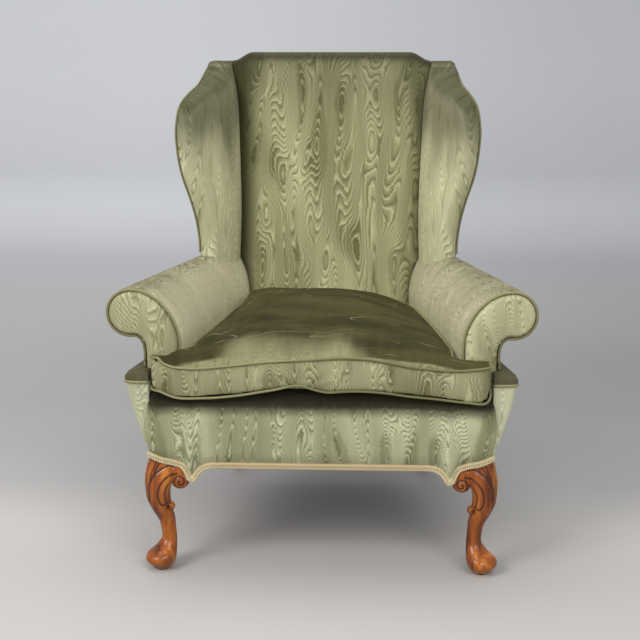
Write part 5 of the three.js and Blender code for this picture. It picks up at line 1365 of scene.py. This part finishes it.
# %% Creases and tucks in the filled cover, and the cushion's own body
flat = millimetres(coordinates(case))
lay_cloth(case.data, on_cloth(flat[:, 0], flat[:, 1] + flat[:, 2]))
applied(case, "SUBSURF", levels=1, render_levels=1)
creases = [  # a line in plan, how high it stands, how wide it is
    ([(-183, -250), (-112, -82), (-16, 20), (42, 22)], 2.6, 5.0),
    ([(-143, -225), (-72, -190), (-8, -178), (45, -150)], 2.0, 4.0),
    ([(-92, -300), (-1, -290), (53, -296)], 1.8, 4.0),
    ([(-60, -15), (9, -45), (59, -44)], 2.2, 4.0),
    ([(60, -60), (120, -130), (150, -210)], 1.6, 9.0),
    ([(-240, -300), (-200, -240), (-160, -150)], 1.8, 9.0),
]
tucks = [  # the same on the front of the boxing
    ([(-95, 450), (-60, 430), (-36, 412)], 3.2, 7.0),
    ([(8, 448), (-14, 432), (-32, 414)], 3.4, 7.0),
    ([(-45, 452), (-40, 436), (-34, 414)], -3.0, 6.0),
    ([(60, 440), (20, 425), (-20, 410)], 2.0, 7.0),
]


def fold(flat, line, count, high, wide, fade):
    """Metres that a fold stands up at each place, dying away at the ends of its line."""
    away = np.linalg.norm(flat[:, None] - smooth_line(line, count), axis=2)
    along = away.argmin(axis=1) / (count - 1)
    return high * MM * np.exp(-((away.min(axis=1) / wide) ** 2)) * np.sin(math.pi * along * fade)


points = coordinates(case)
flat = millimetres(points)
for line, high, wide in creases:
    points[:, 2] += fold(flat[:, :2], line, 60, high, wide, 1.0) * (flat[:, 2] > 440)
for line, high, wide in tucks:
    points[:, 1] -= fold(flat[:, [0, 2]], line, 40, high, wide, 0.9) * (flat[:, 1] < -370)
set_coordinates(case, points)
case.data.shade_smooth()
dress(case, "seat_cushion", "cushion")
for place, line in (("top", upper_cord), ("bottom", lower_cord)):
    welt = cord(f"cushion_cord_{place}", line, WELT - 0.5, closed=True)
    dress(welt, f"cushion_welt_{place}", body="cushion")
print("cushion:", len(case.data.polygons), "faces")

# %% [markdown]
# ## The carved front legs
# A cabriole leg is sawn from a square and carved: it swells at the knee, narrows to the ankle and
# ends in a pad. The outlines of the leg are tables of its inner and outer edge, the same on both
# faces, and the carver's scrolls are lines on the face. The mesh is remeshed finely, and each point
# sinks by a rule of its distance from the nearest line.

# %% Outlines of the leg and the carver's lines
LEG, LEG_TOP = np.array([325.0, -325.0]), 264
leg_outer = table([0, 4, 9, 16, 21, 26, 36, 40, 44, 51, 58, 64, 73, 83, 104, 117, 130, 144, 157,
                   184, 215, 232, 243, 255, LEG_TOP],
                  [345, 354, 358, 366, 369.5, 370, 365, 360, 354, 347, 341, 338, 337, 338, 342, 347,
                   353, 358, 362, 365, 365, 361, 358, 353, 350])
leg_inner = table([0, 6, 14, 26, 54, 75, 90, 111, 128, 150, 170, 190, 205, 222, LEG_TOP],
                  [321, 316, 310, 306, 305, 306, 307, 308, 311, 314, 315, 311, 305, 301, 300])
carver = [  # places along a cut, the points that it gets, its depth and its width
    ([(356, 140), (355, 165), (355, 191), (349, 207), (339, 219), (323, 231), (305, 237),
      (290, 234), (278, 222), (273, 206), (276, 191), (287, 183.5), (298, 187), (303, 196),
      (302, 206), (296, 212), (287, 212), (281, 206), (282, 197), (290, 194), (294, 199),
      (291, 203)], 170, 2.1, 2.6),
    ([(313, 143), (317, 146), (318, 141), (313, 136), (305, 139), (304, 147), (311, 152),
      (321, 150), (327, 146), (332, 150), (336.5, 165), (336, 180), (330, 196), (319, 209),
      (306, 216), (297, 218)], 130, 1.8, 2.4),
    ([(319, 152), (321, 160), (322, 173), (318, 188), (311, 197), (304, 201)], 40, 1.4, 2.0),
    ([(360, 160), (362, 190), (361, 215), (356, 235), (351, 250)], 30, 1.2, 1.9),
    ([(352, 200), (350, 215), (344, 230), (338, 243), (335, 252)], 30, 1.2, 1.9),
    ([(345, 216), (338, 230), (330, 243), (326, 252)], 30, 1.2, 1.9),
]
carving = [(smooth_line(line, count), deep, wide) for line, count, deep, wide in carver]
print("cuts to carve:", len(carving))


def relief(x, z):
    """How deep the carving goes at a place on the face, and how dark the stain lies there."""
    depth, stain = np.zeros(len(x)), np.zeros(len(x))
    here = np.stack([x, z], axis=1)
    for line, deep, wide in carving:
        distance = np.linalg.norm(here[:, None, :] - line[None, :, :], axis=2).min(axis=1)
        cut = np.exp(-((distance / wide) ** 2))
        depth = np.maximum(depth, deep * cut)
        stain = np.maximum(stain, cut)
        depth -= 0.35 * deep * np.exp(-(((distance - 2.6 * wide) / wide) ** 2))
    return depth, stain


# %% Forms before carving
def leg_form():
    """Rounded squares up the leg, rounder at the ankle."""
    sides = 64
    angle = np.arange(sides) * math.tau / sides
    cosine, sine = np.cos(angle), np.sin(angle)
    rings = []
    for z in np.concatenate([[0.0, 1.0], np.linspace(3, LEG_TOP, 130)]):
        inner, outer = float(leg_inner(z)), float(leg_outer(z))
        middle, half = (inner + outer) / 2 - LEG[0], (outer - inner) / 2
        power = lerp(2.0, 3.6, float(smooth(z, 90, 200)))
        radius = half * (np.abs(cosine) ** power + np.abs(sine) ** power) ** (-1 / power)
        x, y = LEG[0] + middle + radius * cosine, LEG[1] - middle + radius * sine
        rings.append(np.stack([x, y, np.full(sides, z)], axis=1))
    faces = grid_faces(len(rings), sides, around=True) + end_faces(len(rings), sides, flip=True)
    return np.vstack(rings), faces


def ball(centre, size, deep):
    """A round form, pressed flatter from front to back."""
    lat, lon = np.meshgrid(np.linspace(-RIGHT_ANGLE, RIGHT_ANGLE, 13),
                           np.arange(28) * math.tau / 28, indexing="ij")
    x, z = size * np.cos(lat) * np.cos(lon), size * np.cos(lat) * np.sin(lon)
    points = np.stack([x, -deep * np.sin(lat), z], axis=-1) + centre
    return points.reshape(-1, 3), grid_faces(13, 28, around=True)


def box(x0, x1, y0, y1, z0, z1):
    corners = np.array([[x, y, z] for z in (z0, z1) for y in (y0, y1) for x in (x0, x1)], float)
    faces = [(0, 2, 3, 1), (4, 5, 7, 6), (0, 1, 5, 4), (2, 6, 7, 3), (0, 4, 6, 2), (1, 3, 7, 5)]
    return corners, faces


def merged(parts):
    points, faces, start = [], [], 0
    for some_points, some_faces in parts:
        points.append(some_points)
        faces += [tuple(start + i for i in face) for face in some_faces]
        start += len(some_points)
    return np.vstack(points), faces


leg_points, leg_faces = leg_form()
knee_points, knee_faces = merged([
    ball((291, -352, 203), 19.5, 12.5),
    box(268, 299.6, -352, -322.6, 208, 239.6),
    box(284, 299.6, -361, -330, 190, 236),
    ball((313, -346, 143.5), 9.5, 9.0),
    ball((300, -352, 222), 14.0, 10.0),
])
print("before carving:", len(leg_faces), "faces on a leg,", len(knee_faces), "on a knee block")


# %% Carving
def carve(target, sides):
    """Sink the carver's lines into the front, and into the side too if it is named."""
    points, stain = coordinates(target), np.zeros(len(target.data.vertices))
    target.data.update()
    normals, places = read(target.data.vertices, "normal"), millimetres(points)
    for side in sides:
        if side == "front":
            x, facing = places[:, 0], -normals[:, 1]
        else:
            x, facing = LEG.sum() - places[:, 1], normals[:, 0]
        weight = smooth(facing, 0.25, 0.75) * smooth(places[:, 2], 118, 132)
        depth, mark = relief(x, places[:, 2])
        points = points - normals * (depth * weight * MM)[:, None]
        stain = np.maximum(stain, mark * weight)
    set_coordinates(target, points)
    attribute = target.data.attributes.new("carving", "FLOAT", "POINT")
    attribute.data.foreach_set("value", stain)


def carved(name, points, faces, grain, softened, sides):
    """Mesh a form with an even grain, soften its edges and carve it."""
    shape = piece(name, points, faces, carved_walnut)
    applied(shape, "REMESH", mode="VOXEL", voxel_size=grain)
    applied(shape, "SMOOTH", factor=0.5, iterations=softened)
    carve(shape, sides)
    return shape


def on_side(points):
    """The front's knee block turned on to the side rail, which runs a little inwards."""
    turn = math.atan((FRONT_HALF - REAR_HALF) / RAIL_RUN)
    c, s = math.cos(turn), math.sin(turn)
    pivot = np.array([FRONT_HALF, FRONT, 0])
    swapped = points[:, [1, 0, 2]] * [-1.0, -1.0, 1.0]
    return (swapped - pivot) @ np.array([[c, -s, 0], [s, c, 0], [0, 0, 1]]).T + pivot


# %% The legs and their knee blocks
for side, sign in SIDES:
    leg = carved(f"{side}_carved_leg", leg_points, leg_faces, 0.0016, 3, ("front", "side"))
    knee = carved(f"{side}_carved_knee", knee_points, knee_faces, 0.0012, 4, ("front",))
    side_knee = linked(f"{side}_carved_side_knee", knee.data.copy())
    set_coordinates(side_knee, metres(on_side(millimetres(coordinates(side_knee)))))
    side_knee.data.flip_normals()
    forms = {"front_leg": leg, "front_knee_block": knee, "side_knee_block": side_knee}
    for node, shape in forms.items():
        if side == "left":
            set_coordinates(shape, mirrored(coordinates(shape), -1.0))
            shape.data.flip_normals()
        shape.data.shade_smooth()
        dress(shape, f"{side}_{node}")
    print(side, "leg:", len(leg.data.polygons), "faces, knee:", len(knee.data.polygons))

# %% [markdown]
# ## The gimp braid
# The braid is a narrow woven band glued over the tacked edge: a flat ground with a row of plaited
# loops. One loop is modelled, and geometry nodes lay it along the hem at an even step, turned to
# the way the hem runs and to the way the cover faces.

# %% A tree that lays one shape along a path
def path_tree():
    tree = bpy.data.node_groups.new("lay along a path", "GeometryNodeTree")
    sockets = {"Geometry": "Geometry", "Shape": "Object", "Step": "Float", "Finish": "Material"}
    for name, kind in sockets.items():
        tree.interface.new_socket(name, in_out="INPUT", socket_type=f"NodeSocket{kind}")
    tree.interface.new_socket("Geometry", in_out="OUTPUT", socket_type="NodeSocketGeometry")
    add, link = tree.nodes.new, tree.links.new
    given, result = add("NodeGroupInput"), add("NodeGroupOutput")
    curve, even = add("GeometryNodeMeshToCurve"), add("GeometryNodeResampleCurve")
    even.mode = "LENGTH"
    shape, tangent = add("GeometryNodeObjectInfo"), add("GeometryNodeInputTangent")
    out = add("GeometryNodeInputNamedAttribute")
    out.data_type = "FLOAT_VECTOR"
    out.inputs["Name"].default_value = "out"
    first, second = [add("FunctionNodeAlignRotationToVector") for _ in range(2)]
    first.axis, second.axis, second.pivot_axis = "X", "Y", "X"
    laid, real = add("GeometryNodeInstanceOnPoints"), add("GeometryNodeRealizeInstances")
    finish = add("GeometryNodeSetMaterial")
    link(given.outputs["Geometry"], curve.inputs["Mesh"])
    link(curve.outputs["Curve"], even.inputs["Curve"])
    link(given.outputs["Step"], even.inputs["Length"])
    link(even.outputs["Curve"], laid.inputs["Points"])
    link(given.outputs["Shape"], shape.inputs["Object"])
    link(shape.outputs["Geometry"], laid.inputs["Instance"])
    link(tangent.outputs["Tangent"], first.inputs["Vector"])
    link(first.outputs["Rotation"], second.inputs["Rotation"])
    link(out.outputs["Attribute"], second.inputs["Vector"])
    link(second.outputs["Rotation"], laid.inputs["Rotation"])
    link(laid.outputs["Instances"], real.inputs["Geometry"])
    link(real.outputs["Geometry"], finish.inputs["Geometry"])
    link(given.outputs["Finish"], finish.inputs["Material"])
    link(finish.outputs["Geometry"], result.inputs["Geometry"])
    return tree


PATH = path_tree()
print("nodes in the tree:", len(PATH.nodes))


def laid_along(name, line, out, shape, step, finish):
    """Lay a shape along a line at an even step, with the given way out from the cover."""
    mesh = bpy.data.meshes.new(name)
    mesh.from_pydata(metres(line).tolist(), [(i, i + 1) for i in range(len(line) - 1)], [])
    attribute = mesh.attributes.new("out", "FLOAT_VECTOR", "POINT")
    attribute.data.foreach_set("vector", np.asarray(out, float).ravel())
    path = linked(name, mesh)
    modifier = path.modifiers.new("laid", "NODES")
    modifier.node_group = PATH
    values = {"Shape": shape, "Step": step * MM, "Finish": finish}
    for item in PATH.interface.items_tree:
        if item.in_out == "INPUT" and item.name in values:
            modifier[item.identifier] = values[item.name]
    frozen(path)
    return path


def template(name, points, faces):
    mesh = bpy.data.meshes.new(name)
    mesh.from_pydata((points * MM).tolist(), [], faces)
    mesh.shade_smooth()
    return bpy.data.objects.new(name, mesh)


def strand(line, radius, sides):
    points = tube(np.asarray(line, float), radius, sides, aside=(0, 1, 0)).reshape(-1, 3)
    return points, grid_faces(len(line), sides, around=True) + end_faces(len(line), sides)


# %% The path of the hem
SIDE_OUT = ledge_reach(FRONT) * HEM_OUT + 1.4
slope = unit(np.array([1.0, (FRONT_HALF - REAR_HALF) / RAIL_RUN, 0.0]))


def face_out(distance):
    """How far the front border stands out at its hem."""
    return PUFF * face_share(0) * fullness(distance, HEM_FULL, HEM_EDGE) + 1.3


path = []  # places along the hem from the back round to the middle of the front, and the way out
for y in np.linspace(241, POST, 4):
    path.append(([side_x(POST) + SIDE_OUT + 1.5, y, hem(RAIL_RUN)], [1, 0, 0]))
for distance in np.concatenate([np.linspace(540, 135, 28), np.linspace(130, 3, 64)]):
    y = FRONT + distance
    path.append(([side_x(y) + SIDE_OUT, y, hem(distance)], slope))
for a in np.linspace(0.15, RIGHT_ANGLE - 0.15, 6):
    c, s = math.cos(a), math.sin(a)
    place = [FRONT_HALF + SIDE_OUT * c, FRONT - face_out(0) * s - 0.4, hem(0) - 0.2]
    path.append((place, [c, -s, 0]))
for distance in np.concatenate([np.linspace(3, 130, 64), np.linspace(135, FRONT_HALF, 18)]):
    place = [FRONT_HALF - distance, FRONT - face_out(distance) - 0.6, hem(distance)]
    path.append((place, [0, -1, 0]))
hem_line, hem_out = [
    np.vstack([half, mirrored(half[-2::-1], -1.0)]) for half in map(np.array, zip(*path))
]
hem_length = round(float(lengths(hem_line).sum()))
print("hem:", len(hem_line), "points over", hem_length, "mm")

# %% The braid's ground, and the plait on it
up_way = np.cross(unit(np.gradient(hem_line, axis=0)), hem_out)
up_way *= np.sign(up_way[:, 2:3])
band = [(-1.0, -8.6), (2.0, -8.6), (2.8, -7.0), (2.8, 4.6), (2.0, 6.4), (-1.0, 6.4)]
rings = np.stack([hem_line + hem_out * out + up_way * up for out, up in band], axis=1)
count = len(hem_line)
faces = grid_faces(count, len(band), around=True) + end_faces(count, len(band))
ribbon = piece("gimp_ground", rings.reshape(-1, 3), faces, braid_ground)
dress(ribbon, "gimp_braid")
t = np.linspace(-0.5, 0.5, 9)
plait = []
for phase in (0.0, math.pi):
    wave = t * math.tau + phase
    line = np.stack([t * 9.6, 3.2 + 0.8 * np.cos(wave), -1.1 + 6.0 * np.sin(wave)], axis=1)
    plait.append(strand(line, 1.0, 5))
loop = template("plait_loop", *merged(plait))
braid = laid_along("gimp_plait", hem_line, hem_out, loop, 4.8, braid_thread)
bpy.data.objects.remove(loop)
dress(braid, None)
print("braid:", len(braid.data.polygons), "faces")

# %% Slip stitches down the outside back
bowed = [[-1.6, 0, 0], [-0.8, 0.5, 0.1], [0.8, 0.5, -0.1], [1.6, 0, 0]]
stitch = template("slip_stitch", *strand(bowed, 0.35, 4))
zs = np.linspace(262, 1018, 60)
for side, sign in SIDES:
    line = np.stack([sign * (stile_outer(zs) + 3.4), stile_back(zs) + 2.4, zs], axis=1)
    out = np.tile([sign, 0.4, 0.0], (len(zs), 1))
    sewn = laid_along(f"{side}_back_stitches", line, out, stitch, 9.0, sewing_thread)
    dress(sewn, None)
bpy.data.objects.remove(stitch)
print("stitches:", len(sewn.data.polygons), "faces on each side")

# %% [markdown]
# ## The dust cover
# Black cloth closes the underside. It is tacked round its edge and sags a little in the middle, so
# the sheet is the CAD outline filled with a fine mesh, its middle let down by a few millimetres.

# %% The dust cover, a little slack
def tacked_x(y):
    return float(side_x(y)) - 14.0


knee_x, knee_y = LEG + [-62.6, 62.6]  # the sheet is cut round each front leg
right = [(knee_x, -341), (knee_x, -300), (knee_x + 50, knee_y), (tacked_x(knee_y), knee_y),
         (tacked_x(POST), 204.7), (219.2, 204.7), (219.2, 241)]
mesh = bmesh.new()
mesh.faces.new([mesh.verts.new((x, y, 0)) for x, y in right + [(-x, y) for x, y in right[::-1]]])
for way in np.eye(3)[:2]:
    for place in np.arange(-330, 330, 15.0):
        geometry = mesh.verts[:] + mesh.edges[:] + mesh.faces[:]
        bmesh.ops.bisect_plane(mesh, geom=geometry, plane_co=way * place, plane_no=way)
mesh.verts.index_update()
sheet = np.array([vert.co[:] for vert in mesh.verts])
sheet_faces = [tuple(vert.index for vert in face.verts) for face in mesh.faces]
mesh.free()
slack_x, slack_y = 1 - (sheet[:, 0] / 260) ** 2, 1 - ((sheet[:, 1] + 50) / 300) ** 2
sag = 5.0 * np.clip(slack_x, 0, 1) * np.clip(slack_y, 0, 1)
upper = np.column_stack([sheet[:, :2], 235.4 - sag])
count = len(sheet)
edges = [(a, b) for face in sheet_faces for a, b in zip(face, face[1:] + face[:1])]
backwards = {(b, a) for a, b in edges}
sheet_faces += [tuple(count + i for i in face[::-1]) for face in sheet_faces]
sheet_faces += [(b, a, count + a, count + b) for a, b in edges if (a, b) not in backwards]
points = np.vstack([upper, upper - np.array([0, 0, 1.0])])
dress(piece("dust_cover_cloth", points, sheet_faces, lining), "dust_cover")
print("dust cover:", len(sheet_faces), "faces")

# %% [markdown]
# ## Studio
# A pale floor runs back and curves up into a backdrop. The light is soft and comes from the front
# left, with a weak one from the right, and the camera stands where the photo's outlines put it.

# %% Floor and backdrop
# The floor and wall tones paint the fall of the studio's light into the paper's colour.
FLOOR_TONES = [  # depth in metres, and the paper's shade there
    (-0.67, (190, 188, 185)), (-0.31, (190, 187, 184)), (-0.08, (193, 190, 187)),
    (0.18, (179, 177, 176)), (0.5, (174, 173, 172)), (0.89, (175, 174, 172)),
    (1.38, (184, 183, 182)), (2.01, (199, 198, 198)), (2.84, (215, 214, 216)),
    (3.6, (228, 228, 233)),
]
WALL_TONES = [  # height in metres, and the shade there
    (0.0, (232, 232, 238)), (0.09, (242, 243, 248)), (0.17, (246, 248, 252)),
    (0.26, (241, 243, 247)), (0.34, (234, 236, 241)), (0.59, (241, 242, 247)),
    (0.84, (245, 247, 251)), (1.32, (248, 250, 254)),
]
BLACK = colour(0, 0, 0)


def paper():
    """Paper whose tones along the floor and up the wall paint in the fall of the studio's light, with
    painted shade to the right.
    """
    finish = Finish("studio_paper")
    x, y, z = finish.parts(finish.place())

    def toned(signal, tones):
        low, high = tones[0][0], tones[-1][0]
        stops = [((place - low) / (high - low), shade) for place, shade in tones]
        return finish.ramp((signal - low) / (high - low), stops)

    shade = finish.mix(toned(y, FLOOR_TONES), toned(z, WALL_TONES), z.between(0.0, 0.04))
    # Painted shade towards the right.
    right = x.between(-1.6, 1.6) * (y.between(-0.3, 1.8) * 0.17 + 0.04)
    shade = finish.mix(shade, BLACK, right)
    shade = finish.mix(shade, BLACK, finish.fine_noise(2, 3.0) * 0.04 + 0.085)
    return finish.surface({"Base Color": shade, "Roughness": 0.75, "Specular IOR Level": 0.2})


WALL, BEND = 3.4, 1.6  # metres to where the floor turns up, and the radius of the turn
sweep = [(-7.0, 0.0), (WALL, 0.0)]
for a in np.linspace(0.1, RIGHT_ANGLE, 14):
    sweep.append((WALL + BEND * math.sin(a), BEND - BEND * math.cos(a)))
sweep.append((WALL + BEND, 7.0))
grid = np.array([[[x, y, z] for x in (-8.0, -4.0, 0.0, 4.0, 8.0)] for y, z in sweep])
floor_mesh = bpy.data.meshes.new("studio_floor")
floor_mesh.from_pydata(grid.reshape(-1, 3).tolist(), [], grid_faces(*grid.shape[:2]))
floor_mesh.materials.append(paper())
floor_mesh.shade_smooth()
linked("studio_floor", floor_mesh)
print("backdrop:", len(floor_mesh.polygons), "faces")


# %% Lamps and world
def lamp(name, place, target, size, power, tint=(1, 1, 1)):
    light = bpy.data.lights.new(name, "AREA")
    light.shape, light.size, light.energy, light.color = "SQUARE", size, power, tint
    holder = linked(name, light)
    holder.location = place
    holder.rotation_euler = (Vector(target) - Vector(place)).to_track_quat("-Z", "Y").to_euler()


lamp("key", (-2.3, -2.6, 2.7), (0, 0, 0.5), 1.8, 92, (1.0, 0.985, 0.96))
lamp("top", (-0.2, 0.2, 3.2), (0, 0, 0.4), 2.2, 45)
lamp("front", (1.2, -3.0, 2.6), (0, 0, 0.6), 2.2, 68, (1.0, 0.99, 0.97))
world = bpy.data.worlds.new("studio")
bpy.context.scene.world = world
world.use_nodes = True
sky = world.node_tree.nodes["Background"].inputs
sky["Color"].default_value, sky["Strength"].default_value = (0.80, 0.81, 0.83, 1), 0.58
print("lamps:", ", ".join(light.name for light in bpy.data.lights))

# %% Camera
AZIMUTH, TILT = math.radians(2.31), math.radians(12.77)
view = bpy.data.cameras.new("camera")
view.lens, view.sensor_width, view.clip_end = 70.4, 36.0, 60
camera = linked("camera", view)
camera.location = (0.098, -2.798 + SHIFT[1], 1.1)
level = math.cos(TILT)
ahead = Vector((-math.sin(AZIMUTH) * level, math.cos(AZIMUTH) * level, -math.sin(TILT)))
camera.rotation_euler = ahead.to_track_quat("-Z", "Y").to_euler()
bpy.context.scene.camera = camera
bpy.context.scene.view_settings.view_transform = "Standard"
print("camera:", view.lens, "mm lens at", [round(place, 3) for place in camera.location])
